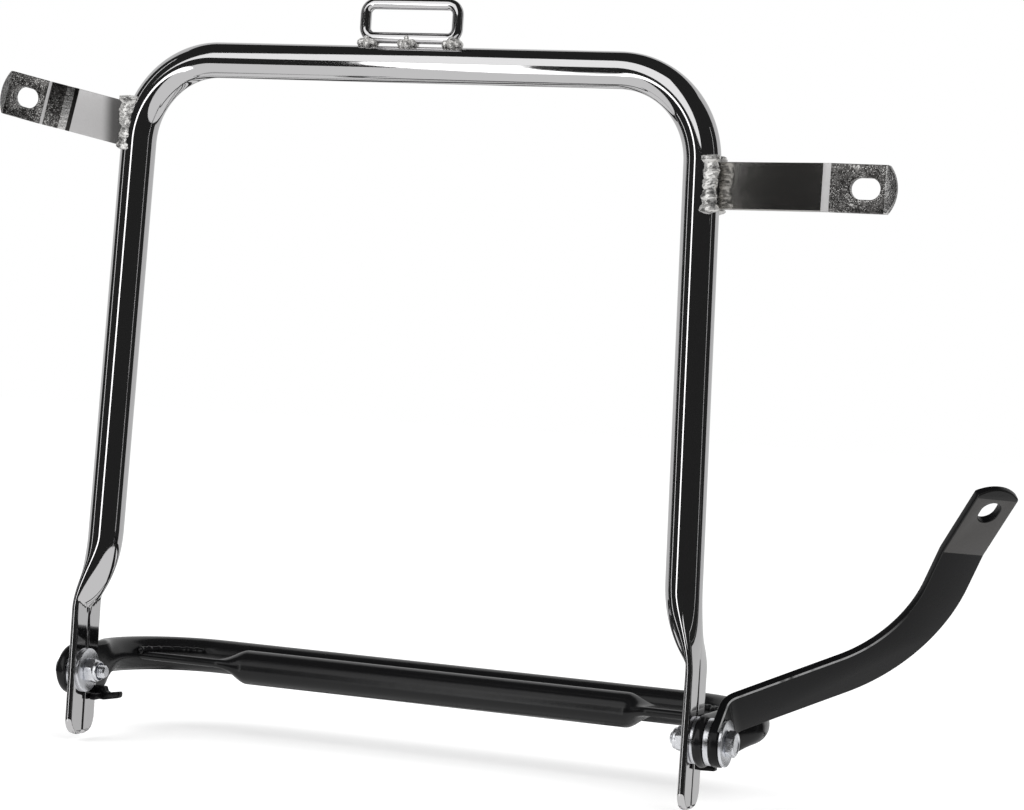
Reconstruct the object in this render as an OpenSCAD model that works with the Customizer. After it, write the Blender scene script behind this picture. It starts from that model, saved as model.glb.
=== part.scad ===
// Moped pannier frame: a welded chrome hoop that bolts to the side of a moped
// and a black bag support that hinges on its two feet.
// Millimetres. Origin at the middle of the hoop's top rail, on its axis.
// +X runs along the rail, +Z up, -Y towards the vehicle.

/* [Hoop] */
// Outside diameter of the hoop's tube
tube_d = 16; // [12:0.5:20]
// Wall of the hoop's tube
hoop_wall = 1.5; // [1:0.25:2.5]
// Height from the bolt axis to the top rail's axis
hoop_h = 281; // [220:1:360]
// Distance between the two leg axes at the height of the bolts
foot_span = 281.4; // [220:0.2:340]
// Outward lean of each leg, in degrees
leg_splay = 1.37; // [0:0.01:3]
// Bend radius of the hoop's corners, on the tube's axis
hoop_bend_r = 39; // [30:1:60]
// Thickness of the pressed flat of each leg
foot_t = 3.4; // [3:0.2:5]
// Width of the pressed flats
flat_w = 22.6; // [20:0.2:25]
// Length of the flat below the bolt
foot_below = 29.4; // [20:0.2:40]
// Length of the flat above the bolt
foot_above = 31; // [26:1:40]
// Length over which the round tube is pressed down to the flat
press_len = 33; // [25:1:50]

/* [Strap loop] */
// Diameter of the loop's rod
rod_d = 5; // [4:0.5:6]
// Outside width of the loop
loop_w = 49; // [36:1:70]
// Outside height of the loop
loop_h = 20; // [18:1:30]
// Bend radius of the loop's corners, on the rod's axis
loop_bend_r = 4.5; // [4:0.25:6]
// Gap between the loop and the rail, bridged by three welds
loop_gap = 1.2; // [0.6:0.2:2]
// Place of the loop's middle along the rail
loop_x = -3; // [-10:1:10]

/* [Brackets] */
// Width of the bracket bars
bracket_w = 20; // [16:1:24]
// Thickness of the bracket bars
bracket_t = 4; // [3:0.5:5]
// Width of the bracket slots
slot_w = 9; // [6:0.5:10]
// Length of the bracket slots
slot_l = 13; // [10:0.5:15]
// Drop of the left bracket's root below the top rail's axis
left_bracket_drop = 30; // [29:1:120]
// Upward lean of the left bracket, in degrees
left_bracket_rise = 12; // [0:1:20]
// Drop of the right bracket's root below the top rail's axis
right_bracket_drop = 47.5; // [40:0.5:120]

/* [Bag support] */
// Wall of the support's two tubes
support_wall = 2; // [1:0.25:3]
// Distance from the bolt axis back to the rear tube's axis
support_reach = 84; // [70:1:120]
// Bend radius of the support's corners, on the tube's axis
support_bend_r = 41; // [30:1:50]
// Height of the support's tubes above the bolt axis
support_rise = 2.4; // [0:0.2:4]
// Length of the pressed arm ends, from the bolt axis back
arm_flat_l = 28; // [27:0.5:29]
// Thickness of the pressed arm ends
arm_flat_t = 4; // [3:0.2:5]
// Distance from the bolt axis back to the cross tube's axis
cross_reach = 66; // [50:1:66]
// Drop of the cross tube's round middle below its flats
cross_drop = 1.4; // [0:0.2:3]
// Length of the cross tube's round middle
cross_round_l = 192; // [120:1:200]

/* [Strut] */
// Width of the strut's bar
strut_w = 20; // [16:1:22]
// Thickness of the strut's bar
strut_t = 4; // [3:0.5:6]
// Angle of the strut's lower end above the support's arm
strut_lift = 41; // [0:1:80]
// Outward fold above the bolt, in degrees
strut_fold = 54; // [40:1:70]
// Straight run between the fold and the edgewise bend
strut_run = 48; // [30:1:80]
// Radius of the edgewise bend, on the bar's middle line
strut_bend_r = 58; // [40:1:80]
// Angle of the edgewise bend
strut_bend = 60; // [30:1:80]
// Length of the bar between the edgewise bend and the tip
strut_upper = 17; // [10:1:40]
// Length of the tip beyond the last small fold
strut_tip = 36; // [30:1:60]

/* [Fasteners] */
// Bolt diameter
bolt_d = 6; // [5:1:6]
// Length of the left bolt under its head
left_bolt_l = 20; // [20:1:24]
// Length of the right bolt under its head
right_bolt_l = 25; // [25:1:30]
// Outside diameter of the washers
washer_d = 20; // [16:1:20]
// Thickness of the washers
washer_t = 1.6; // [1.2:0.1:2]
// Thickness of the washer between the strut and the arm
strut_washer_t = 2.6; // [1.2:0.1:3]

/* [Hidden] */
$fn = 64;
// Running gap between faces that turn against each other
play = 0.1;
// Radial clearance of the pivot holes on the bolts
pivot_clear = 0.08;
// Radial clearance of the washers on the bolts
washer_clear = 0.2;
// Radial clearance of nut and insert on the bolt
thread_clear = 0.03;
// Hexagon sizes of a standard bolt and lock nut, taken from the bolt's diameter
hex_af = bolt_d * 5 / 3;
head_h = bolt_d * 2 / 3;
nut_h = bolt_d;
nut_hex_h = 0.74 * nut_h;
collar_d = 0.92 * hex_af;
insert_d = 0.8 * hex_af;

tube_r = tube_d / 2;
// Bolt axis and the faces that are stacked on it, as distances from the middle
pivot_z = -hoop_h;
foot_out = foot_span / 2 + tube_r;
foot_in = foot_out - foot_t;
pivot_washer_x = foot_out;
arm_in = pivot_washer_x + washer_t + play;
arm_out = arm_in + arm_flat_t;
arm_axis = arm_in + tube_r;
left_head_x = arm_out + play;
strut_washer_x = arm_out + play;
strut_in = strut_washer_x + strut_washer_t + play;
strut_out = strut_in + strut_t;
head_washer_x = strut_out + play;
right_head_x = head_washer_x + washer_t;
left_nut_x = foot_in - washer_t;
right_nut_x = foot_in;

// Corners of the hoop: centre of the bend and the end of the bend on the leg
corner_turn = 90 - leg_splay;
leg_top_z = -hoop_bend_r + hoop_bend_r * sin(leg_splay);
leg_top_x = foot_span / 2 - (hoop_h + leg_top_z) * tan(leg_splay);
corner_x = leg_top_x - hoop_bend_r * cos(leg_splay);
press_top_z = pivot_z + foot_above + press_len;
leg_run = (leg_top_z - press_top_z) / cos(leg_splay);

// Corners of the bag support
support_corner_x = arm_axis - support_bend_r;
support_corner_y = support_reach - support_bend_r;

// The strut's lower end, from the bolt to the fold, and the fold's inner radius
lower_l = 12.4;
fold_r = 6;

weld_r = 3;
eps = 0.02;
// Neighbouring runs of a tube overlap by seam, and a bend or a pressed cone is thinner by draw
seam = 0.5;
draw = 0.2;

// Half-width of the leg's axis at a height
function leg_x(z) = foot_span / 2 - (z - pivot_z) * tan(leg_splay);

// A cylinder along +X, from x
module rod_x(x, len, d) {
    translate([x, 0, 0]) rotate([0, 90, 0]) cylinder(h = len, d = d);
}

// The hoop's right leg as round tube of diameter d, cut short by less
module leg_rod(d, less) {
    translate([leg_top_x, 0, leg_top_z]) rotate([0, 180 - leg_splay, 0]) translate([0, 0, -seam])
        cylinder(h = leg_run + seam - less, d = d);
}

// The hoop's right corner and leg
module hoop_side(d, less) {
    translate([corner_x, 0, -hoop_bend_r]) rotate([90, 0, 0]) rotate([0, 0, leg_splay])
        rotate_extrude(angle = corner_turn) translate([hoop_bend_r, 0]) circle(d = d - draw);
    leg_rod(d, less);
}

// The hoop's whole round tube, of diameter d
module hoop_tube(d, less) {
    rod_x(-corner_x - seam, 2 * (corner_x + seam), d);
    hoop_side(d, less);
    mirror([1, 0, 0]) hoop_side(d, less);
}

// A thin slice of the pressed flat, across the leg
module foot_slice() {
    translate([foot_in, -flat_w / 2, pivot_z + foot_above]) cube([foot_t, flat_w, eps]);
}

// The right leg's end: the pressed cone, the flat with its rounded foot and centre crease
module leg_end() {
    hull() {
        translate([leg_x(press_top_z), 0, press_top_z]) rotate([0, -leg_splay, 0])
            cylinder(h = seam, d = tube_d - 2 * draw, $fn = 40);
        foot_slice();
    }
    difference() {
        foot_plate();
        foot_crease();
        mirror_face() foot_crease();
    }
}

// Outline of the flat: straight sides and a rounded bottom
module foot_plate() {
    corner_r = 0.36 * flat_w;
    translate([foot_in, 0, pivot_z]) rotate([90, 0, 90]) linear_extrude(foot_t) {
        translate([-flat_w / 2, corner_r - foot_below]) square([flat_w, foot_below + foot_above - corner_r]);
        translate([corner_r - flat_w / 2, -foot_below]) square([flat_w - 2 * corner_r, corner_r + eps]);
        for (side = [-1, 1]) translate([side * (flat_w / 2 - corner_r), corner_r - foot_below])
            circle(r = corner_r);
    }
}

// Centre crease that the press leaves on the inner face
module foot_crease() {
    crease_w = 1.6;
    crease_deep = 0.4;
    translate([foot_in, 0, pivot_z - foot_below - 1])
        linear_extrude(foot_below + foot_above - 2)
            polygon([[-eps, -crease_w / 2], [crease_deep, 0], [-eps, crease_w / 2]]);
}

// Carries the crease from the inner to the outer face of the flat
module mirror_face() {
    translate([foot_in + foot_out, 0, 0]) mirror([1, 0, 0]) children();
}

module hoop() {
    color("gainsboro") difference() {
        union() {
            hoop_tube(tube_d, 0);
            leg_end();
            mirror([1, 0, 0]) leg_end();
        }
        hoop_tube(tube_d - 2 * hoop_wall, seam / 2);
        translate([0, 0, pivot_z]) rod_x(-foot_out - 1, 2 * foot_out + 2, bolt_d + 2 * pivot_clear);
    }
}

// Rod loop for a bag strap, with the three welds that hold it on the rail
module strap_loop() {
    half_w = (loop_w - rod_d) / 2 - loop_bend_r;
    half_h = (loop_h - rod_d) / 2 - loop_bend_r;
    mid_z = tube_r + loop_gap + loop_h / 2;
    color("gainsboro") difference() {
        translate([loop_x, 0, mid_z]) {
            for (turn = [0, 180]) rotate([0, turn, 0]) {
                translate([0, 0, half_h + loop_bend_r]) rod_x(-half_w, 2 * half_w, rod_d);
                translate([half_w + loop_bend_r, 0, -half_h]) cylinder(h = 2 * half_h, d = rod_d);
                for (up = [0, 1]) mirror([0, 0, up]) translate([half_w, 0, half_h])
                    rotate([90, 0, 0]) rotate_extrude(angle = 90) translate([loop_bend_r, 0])
                        circle(d = rod_d);
            }
            for (place = [-0.42, 0, 0.42]) translate([place * loop_w, 0, -loop_h / 2])
                loop_weld();
        }
        rod_x(-loop_w, 2 * loop_w, tube_d);
    }
}

// One weld under the strap loop: a lump with a smaller lump on each side
module loop_weld() {
    sphere(r = 0.62 * rod_d, $fn = 32);
    for (side = [-1, 1]) translate([side * 0.42 * rod_d, -0.2 * rod_d, -0.1 * rod_d])
        sphere(r = 0.46 * rod_d, $fn = 32);
}

// A bent bar is a list of steps [length, bend angle, inner bend radius], in the XY plane
// from the origin along +X. A positive bend turns towards +Y.
function to_left(a) = [-sin(a), cos(a)];
function heading(steps, k) = k == 0 ? 0 : heading(steps, k - 1) + steps[k - 1][1];
function bend_r(t, steps, k) = (steps[k][1] < 0 ? -1 : 1) * (steps[k][2] + t / 2);
function bend_mid(t, steps, k) = let(a = heading(steps, k))
    run_start(t, steps, k) + steps[k][0] * [cos(a), sin(a)] + bend_r(t, steps, k) * to_left(a);
function run_start(t, steps, k) = k == 0 ? [0, 0]
    : bend_mid(t, steps, k - 1) - bend_r(t, steps, k - 1) * to_left(heading(steps, k));
function bend_point(t, steps, k, share, off) = bend_mid(t, steps, k)
    - (bend_r(t, steps, k) - off) * to_left(heading(steps, k) + share * steps[k][1]);

// Puts the children in the frame at the end of a bent bar's last bend
module bar_frame(t, steps) {
    last = len(steps);
    at = run_start(t, steps, last);
    translate([at[0], at[1], 0]) rotate([0, 0, heading(steps, last)]) children();
}

// A bent bar, its width along Z and its thickness in the XY plane. It starts root behind
// the origin and ends tip beyond its last bend.
module bent_bar(w, t, steps, root, tip) {
    last = len(steps);
    fine = 6;
    a = heading(steps, last);
    tip_at = run_start(t, steps, last) + tip * [cos(a), sin(a)];
    linear_extrude(w, center = true) polygon(concat(
        [[-root, t / 2]],
        [for (k = [0 : last - 1]) for (i = [0 : fine]) bend_point(t, steps, k, i / fine, t / 2)],
        [tip_at + t / 2 * to_left(a), tip_at - t / 2 * to_left(a)],
        [for (k = [last - 1 : -1 : 0]) for (i = [fine : -1 : 0]) bend_point(t, steps, k, i / fine, -t / 2)],
        [[-root, -t / 2]]));
}

// What to cut from a bar's end along +X to leave an arc of radius arc_r across it at len
module end_trim(w, t, len, arc_r) {
    difference() {
        translate([len - arc_r, -t, -w]) cube([2 * arc_r, 2 * t, 2 * w]);
        translate([len - arc_r, 2 * t, 0]) rotate([90, 0, 0]) cylinder(h = 4 * t, r = arc_r);
    }
}

// A slot through a bar's thickness, long along X
module bar_slot(t, w, len) {
    rotate([90, 0, 0]) translate([0, 0, -t]) linear_extrude(2 * t) {
        translate([-(len - w) / 2, -w / 2]) square([len - w, w]);
        for (side = [-1, 1]) translate([side * (len - w) / 2, 0]) circle(d = w);
    }
}

// A weld bead along Z
module weld_bead(len) {
    translate([0, 0, -len / 2]) cylinder(h = len, r = weld_r, $fn = 32);
}

// A bracket that leaves a leg along +X: the bent bar, its slotted tip and its welds
module bracket(steps, tip_l, slot_at, rise) {
    difference() {
        union() {
            bent_bar(bracket_w, bracket_t, steps, tube_r / 2, tip_l);
            for (side = [-1, 1]) translate([-1.4, side * (bracket_t / 2 + 0.8), 0])
                rotate([0, rise, 0]) weld_bead(bracket_w - 1);
        }
        bar_frame(bracket_t, steps) {
            translate([slot_at, 0, 0]) bar_slot(bracket_t, slot_w, slot_l);
            end_trim(bracket_w, bracket_t, tip_l, 0.8 * bracket_w);
        }
    }
}

// The steps of the two brackets: straight run, fold angle and inner fold radius
left_steps = [[23.2, -21.8, 4], [11.1, 39.2, 4]];
left_tip_l = 20.7;
left_slot_at = 6.3;
left_yaw = -17.4;
right_steps = [[52.5, 15.4, 5]];
right_tip_l = 28.3;
right_slot_at = 15.4;
right_yaw = -17;

module left_bracket() {
    root_z = -left_bracket_drop;
    color("silver") mirror([1, 0, 0]) difference() {
        translate([leg_x(root_z) + tube_r, 0, root_z]) rotate([0, -left_bracket_rise, 0])
            rotate([0, 0, left_yaw]) bracket(left_steps, left_tip_l, left_slot_at, left_bracket_rise);
        hoop_side(tube_d, 0);
    }
}

module right_bracket() {
    root_z = -right_bracket_drop;
    color("silver") difference() {
        translate([leg_x(root_z) + tube_r, 0, root_z]) rotate([0, 0, right_yaw])
            bracket(right_steps, right_tip_l, right_slot_at, 0);
        leg_rod(tube_d, 0);
    }
}

// The support's right bend, as round tube of diameter d
module support_side(d) {
    translate([support_corner_x, support_corner_y, support_rise])
        rotate_extrude(angle = 90) translate([support_bend_r, 0]) circle(d = d);
}

// The support's round tube, of diameter d: the rear bar and both bends
module support_tube(d) {
    translate([0, support_reach, support_rise]) rod_x(-support_corner_x, 2 * support_corner_x, d);
    support_side(d);
    mirror([1, 0, 0]) support_side(d);
}

// The right arm's end: the pressed cone and the flat with its round end
module arm_end() {
    hull() {
        translate([arm_axis, support_corner_y, support_rise]) rotate([90, 0, 0])
            cylinder(h = 1, d = tube_d - 2 * draw, $fn = 40);
        translate([arm_in, arm_flat_l, -flat_w / 2]) cube([arm_flat_t, eps, flat_w]);
    }
    translate([arm_in, 0, 0]) rotate([90, 0, 90]) linear_extrude(arm_flat_t) {
        circle(d = flat_w);
        translate([0, -flat_w / 2]) square([arm_flat_l + eps, flat_w]);
    }
}

module bag_support() {
    color([0.09, 0.09, 0.1]) translate([0, 0, pivot_z]) difference() {
        union() {
            support_tube(tube_d);
            arm_end();
            mirror([1, 0, 0]) arm_end();
        }
        support_tube(tube_d - 2 * support_wall);
        rod_x(-arm_out - 1, 2 * arm_out + 2, bolt_d + 2 * pivot_clear);
    }
}

// The cross tube's right end: the pressed cone, and the flat that reaches the support's bend
module cross_end() {
    cone_l = 11;
    flat_l = arm_axis - cross_round_l / 2 - cone_l;
    bend_y = support_corner_y - cross_reach;
    hull() {
        translate([cross_round_l / 2 - seam, 0, -cross_drop]) rotate([0, 90, 0])
            cylinder(h = 2 * seam, d = tube_d - 2 * draw, $fn = 40);
        translate([cross_round_l / 2 + cone_l, -flat_w / 2, -arm_flat_t / 2])
            cube([eps, flat_w, arm_flat_t]);
    }
    intersection() {
        translate([cross_round_l / 2 + cone_l - eps, -flat_w / 2, -arm_flat_t / 2])
            cube([flat_l, flat_w, arm_flat_t]);
        translate([support_corner_x, bend_y, -tube_d]) cylinder(h = 2 * tube_d, r = support_bend_r);
    }
}

// Weld lumps where the cross tube's flat lies against the inside of the support's bend
module cross_weld() {
    bead_r = 0.7 * weld_r;
    seat_r = support_bend_r - tube_r - 0.5;
    for (turn = [24 : 7 : 80]) translate([support_corner_x + seat_r * cos(turn),
        support_corner_y + seat_r * sin(turn), support_rise + arm_flat_t / 2])
            sphere(r = bead_r, $fn = 24);
}

module cross_tube() {
    color([0.09, 0.09, 0.1]) translate([0, 0, pivot_z]) difference() {
        union() {
            translate([0, cross_reach, support_rise]) {
                translate([0, 0, -cross_drop]) rod_x(-cross_round_l / 2, cross_round_l, tube_d);
                cross_end();
                mirror([1, 0, 0]) cross_end();
            }
            cross_weld();
            mirror([1, 0, 0]) cross_weld();
        }
        translate([0, cross_reach, support_rise - cross_drop])
            rod_x(1 - cross_round_l / 2, cross_round_l - 2, tube_d - 2 * support_wall);
        support_tube(tube_d);
    }
}

// A stop under an arm, on the right: it bears on the back edge of the leg's flat
module arm_stop(toe_reach) {
    stop_y = flat_w / 2 + 0.3;
    stop_t = 4;
    foot_top = -flat_w / 2 + 0.3;
    foot_low = foot_top - 3;
    web_top = -flat_w / 2 + 3;
    web_in = foot_in - 3.5;
    toe_x = foot_in - toe_reach;
    lip_out = foot_in - 0.4;
    translate([0, stop_y, 0]) rotate([90, 0, 0]) mirror([0, 0, 1]) linear_extrude(stop_t) {
        polygon([[arm_in, web_top], [arm_in, -flat_w / 2], [arm_out, -flat_w / 2], [arm_out, foot_low],
                 [web_in, foot_low - 0.5], [toe_x, foot_low + 1], [toe_x, foot_top + 1],
                 [web_in - 2, foot_top], [web_in, foot_top + 2.5], [web_in + 0.5, web_top]]);
    }
    translate([lip_out - 3, 4, foot_low]) cube([3, stop_y + eps - 4, 3]);
}

module right_stop() {
    color([0.09, 0.09, 0.1]) translate([0, 0, pivot_z]) arm_stop(6.5);
}

module left_stop() {
    color([0.09, 0.09, 0.1]) translate([0, 0, pivot_z]) mirror([1, 0, 0]) arm_stop(11.5);
}

// The strut in the frame of its straight run: X along the run from the fold, Z across it,
// -Y on its front. The fold is built backwards from the run.
module strut_body() {
    lap = 15;
    end_r = 0.52 * strut_w;
    back_steps = [[lap, -strut_fold, fold_r]];
    difference() {
        rotate([0, 180, 0]) translate([-lap, 0, 0])
            bent_bar(strut_w, strut_t - 2 * eps, back_steps, 0, lower_l + end_r);
        rotate([0, 180, 0]) translate([-lap, 0, 0]) bar_frame(strut_t, back_steps) {
            end_trim(strut_w, strut_t, lower_l + end_r, end_r);
            translate([lower_l, strut_t, 0]) rotate([90, 0, 0])
                cylinder(h = 2 * strut_t, d = bolt_d + 2 * pivot_clear);
        }
    }
    strut_rise();
}

// The strut above its fold: its outline with the edgewise bend, cut from a sheet that is
// folded near its tip, and the slot in the tip
module strut_rise() {
    sheet_w = 4 * strut_bend_r;
    tip_steps = [[strut_upper, -9, 10]];
    difference() {
        intersection() {
            rotate([90, 0, 0]) linear_extrude(4 * strut_w, center = true) edge_path();
            on_upper_run() bent_bar(sheet_w, strut_t, tip_steps, sheet_w, 2 * strut_tip);
        }
        on_upper_run() bar_frame(strut_t, tip_steps) translate([strut_tip - 12.5, 0, 0])
            bar_slot(strut_t, slot_w, slot_w + 2);
    }
}

// Puts the children at the end of the edgewise bend
module on_upper_run() {
    translate([strut_run, 0, strut_bend_r]) rotate([0, -strut_bend, 0])
        translate([0, 0, -strut_bend_r]) children();
}

// Outline of the strut above its fold: a straight run, the edgewise bend, the upper run
// and the arc across its tip
module edge_path() {
    in_r = strut_bend_r - strut_w / 2;
    out_r = strut_bend_r + strut_w / 2;
    mid = [strut_run, strut_bend_r];
    ahead = [cos(strut_bend), sin(strut_bend)];
    across = [sin(strut_bend), -cos(strut_bend)];
    arc_r = 0.8 * strut_w;
    half = asin(strut_w / 2 / arc_r);
    arc_at = mid + strut_bend_r * across + (strut_upper + strut_tip + 1 - arc_r) * ahead;
    fine = 2.5;
    polygon(concat([[3, -strut_w / 2]],
        [for (a = [0 : fine : strut_bend]) mid + out_r * [sin(a), -cos(a)]],
        [for (a = [half : -half / 6 : -half - 0.01]) arc_at + arc_r * (cos(a) * ahead + sin(a) * across)],
        [for (a = [strut_bend : -fine : 0]) mid + in_r * [sin(a), -cos(a)]],
        [[3, strut_w / 2]]));
}

module strut() {
    color([0.09, 0.09, 0.1]) translate([strut_in + strut_t / 2, 0, pivot_z])
        rotate([strut_lift, 0, 0]) rotate([0, 0, 90])
            bar_frame(strut_t, [[lower_l, -strut_fold, fold_r]]) strut_body();
}

// A hexagon bolt along -X from its head, which is on the +X side of the origin
module bolt(len) {
    tip = 0.8;
    rotate([0, 90, 0]) intersection() {
        rotate([0, 0, 30]) cylinder(h = head_h, d = hex_af / cos(30), $fn = 6);
        translate([0, 0, -1]) cylinder(h = head_h + 1, r1 = hex_af * 0.75, r2 = hex_af * 0.5);
    }
    rotate([0, -90, 0]) {
        translate([0, 0, -eps]) cylinder(h = len - tip + eps, d = bolt_d);
        translate([0, 0, len - tip]) cylinder(h = tip, d1 = bolt_d, d2 = bolt_d - 2 * tip);
    }
}

// A lock nut along -X: hexagon, rounded collar and the seat of its ring
module lock_nut() {
    ring_h = nut_h - nut_hex_h - 0.3;
    rotate([0, -90, 0]) difference() {
        union() {
            intersection() {
                rotate([0, 0, 30]) cylinder(h = nut_hex_h, d = hex_af / cos(30), $fn = 6);
                cylinder(h = nut_hex_h, r1 = hex_af * 0.56, r2 = hex_af * 0.52);
            }
            translate([0, 0, nut_hex_h - eps]) cylinder(h = nut_h - nut_hex_h - 0.4, d = collar_d);
            translate([0, 0, nut_h - 0.4 - eps]) cylinder(h = 0.4 + eps, d1 = collar_d, d2 = collar_d - 0.8);
        }
        translate([0, 0, -1]) cylinder(h = nut_h + 2, d = bolt_d + 2 * thread_clear);
        translate([0, 0, nut_h - ring_h]) cylinder(h = ring_h + 1, d = insert_d);
    }
}

// The plastic ring in the lock nut's collar
module nut_insert() {
    ring_h = nut_h - nut_hex_h - 0.3;
    rotate([0, -90, 0]) translate([0, 0, nut_h - ring_h]) difference() {
        cylinder(h = ring_h - 0.2, d = insert_d);
        translate([0, 0, -1]) cylinder(h = ring_h + 2, d = bolt_d + 2 * thread_clear);
    }
}

// A plain washer along +X
module washer(t = washer_t) {
    rotate([0, 90, 0]) difference() {
        cylinder(h = t, d = washer_d);
        translate([0, 0, -1]) cylinder(h = t + 2, d = bolt_d + 2 * washer_clear);
    }
}

// Places a fastener on the right-hand bolt axis at x, or mirrored on the left
module on_right(x) {
    translate([x, 0, pivot_z]) children();
}

module on_left(x) {
    mirror([1, 0, 0]) translate([x, 0, pivot_z]) children();
}

module left_bolt() { color("silver") on_left(left_head_x) bolt(left_bolt_l); }
module right_bolt() { color("silver") on_right(right_head_x) bolt(right_bolt_l); }
module left_nut() { color("silver") on_left(left_nut_x) lock_nut(); }
module right_nut() { color("silver") on_right(right_nut_x) lock_nut(); }
module left_nut_insert() { color("dimgray") on_left(left_nut_x) nut_insert(); }
module right_nut_insert() { color("dimgray") on_right(right_nut_x) nut_insert(); }
module left_nut_washer() { color("silver") on_left(left_nut_x) washer(); }
module left_pivot_washer() { color("silver") on_left(pivot_washer_x) washer(); }
module right_pivot_washer() { color("silver") on_right(pivot_washer_x) washer(); }
module strut_washer() { color("silver") on_right(strut_washer_x) washer(strut_washer_t); }
module right_head_washer() { color("silver") on_right(head_washer_x) washer(); }

hoop();
strap_loop();
left_bracket();
right_bracket();
bag_support();
cross_tube();
left_stop();
right_stop();
strut();
left_bolt();
right_bolt();
left_nut();
right_nut();
left_nut_insert();
right_nut_insert();
left_nut_washer();
left_pivot_washer();
right_pivot_washer();
strut_washer();
right_head_washer();
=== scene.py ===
"""Looks of a moped's pannier frame: a chrome tube hoop and a black folding bag support."""

import logging  # noqa: E402
import math  # noqa: E402
from collections.abc import Callable, Iterable, Sequence  # noqa: E402
from dataclasses import dataclass  # noqa: E402
from enum import Enum  # noqa: E402

import bmesh  # noqa: E402
import bpy  # noqa: E402
from mathutils import Matrix, Vector, noise  # noqa: E402


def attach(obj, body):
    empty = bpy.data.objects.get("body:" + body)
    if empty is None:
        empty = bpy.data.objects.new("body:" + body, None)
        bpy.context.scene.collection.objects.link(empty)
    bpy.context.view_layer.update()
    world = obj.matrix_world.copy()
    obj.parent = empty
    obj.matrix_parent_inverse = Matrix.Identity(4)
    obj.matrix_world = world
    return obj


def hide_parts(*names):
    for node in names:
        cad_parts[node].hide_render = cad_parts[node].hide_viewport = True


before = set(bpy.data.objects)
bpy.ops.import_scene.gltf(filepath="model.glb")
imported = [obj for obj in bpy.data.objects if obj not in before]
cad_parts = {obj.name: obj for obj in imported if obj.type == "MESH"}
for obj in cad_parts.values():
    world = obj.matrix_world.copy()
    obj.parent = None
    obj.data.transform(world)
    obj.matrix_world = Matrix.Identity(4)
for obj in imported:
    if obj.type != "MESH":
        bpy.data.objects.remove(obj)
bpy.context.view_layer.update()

logging.basicConfig(level=logging.INFO, format="%(levelname)s %(message)s")
LOG = logging.getLogger("pannier_frame")

MM = 0.001
HALF_TURN = math.pi
QUARTER_TURN = math.pi / 2

# Sizes that several pieces share, in millimetres. The origin is the middle of the top rail.
TUBE_R = 8.0
HOOP_H = 281.0
FOOT_HALF = 140.7
FOOT_T = 3.4
FLAT_W = 22.6
WASHER_T = 1.6
PLAY = 0.1
ARM_T = 4.0
STRUT_T = 4.0
STRUT_WASHER_T = 2.6
FOOT_OUT = FOOT_HALF + TUBE_R
FOOT_IN = FOOT_OUT - FOOT_T
ARM_IN = FOOT_OUT + WASHER_T + PLAY
ARM_OUT = ARM_IN + ARM_T
STRUT_IN = ARM_OUT + PLAY + STRUT_WASHER_T + PLAY
STRUT_OUT = STRUT_IN + STRUT_T
HEAD_X = STRUT_OUT + PLAY + WASHER_T


class Body(Enum):
    """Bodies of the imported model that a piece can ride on."""

    FRAME = "frame"
    SUPPORT = "support"
    STRUT = "strut"


class Slot(Enum):
    """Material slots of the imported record."""

    CHROME = "chrome"
    BARE_BAR = "bare_bar"
    BLACK_PAINT = "black_paint"
    ZINC = "zinc"
    NYLON = "nylon"


# --------------------------------------------------------------------------- shader maths


class Sock:
    """A node's output socket, or a plain number, with Python's operators."""

    def __init__(self, graph: "Graph", value: object) -> None:
        """Keep the socket or number.

        Args:
            graph: The node tree that new Math nodes go into.
            value: An output socket or a number.
        """
        self.graph = graph
        self.value = value

    def _math(self, operation: str, *others: object) -> "Sock":
        """Add one Math node on this value and others."""
        values = {i: v for i, v in enumerate((self, *others))}
        return self.graph.node("ShaderNodeMath", {"operation": operation}, values)

    def __add__(self, other: object) -> "Sock":
        """Sum."""
        return self._math("ADD", other)

    def __sub__(self, other: object) -> "Sock":
        """Difference."""
        return self._math("SUBTRACT", other)

    def __rsub__(self, other: object) -> "Sock":
        """Reflected difference."""
        return Sock(self.graph, other)._math("SUBTRACT", self)

    def __mul__(self, other: object) -> "Sock":
        """Product."""
        return self._math("MULTIPLY", other)

    def clamp(self) -> "Sock":
        """The value held between 0 and 1."""
        return self._math("MINIMUM", 1.0)._math("MAXIMUM", 0.0)

    def above(self, low: float, high: float) -> "Sock":
        """A soft mask: 0 below low, 1 above high.

        Args:
            low: Value where the mask starts.
            high: Value where the mask is full.

        Returns:
            The mask as a socket.
        """
        return self.graph.node(
            "ShaderNodeMapRange",
            {"interpolation_type": "SMOOTHSTEP"},
            {"Value": self, "From Min": low, "From Max": high},
        )


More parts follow.
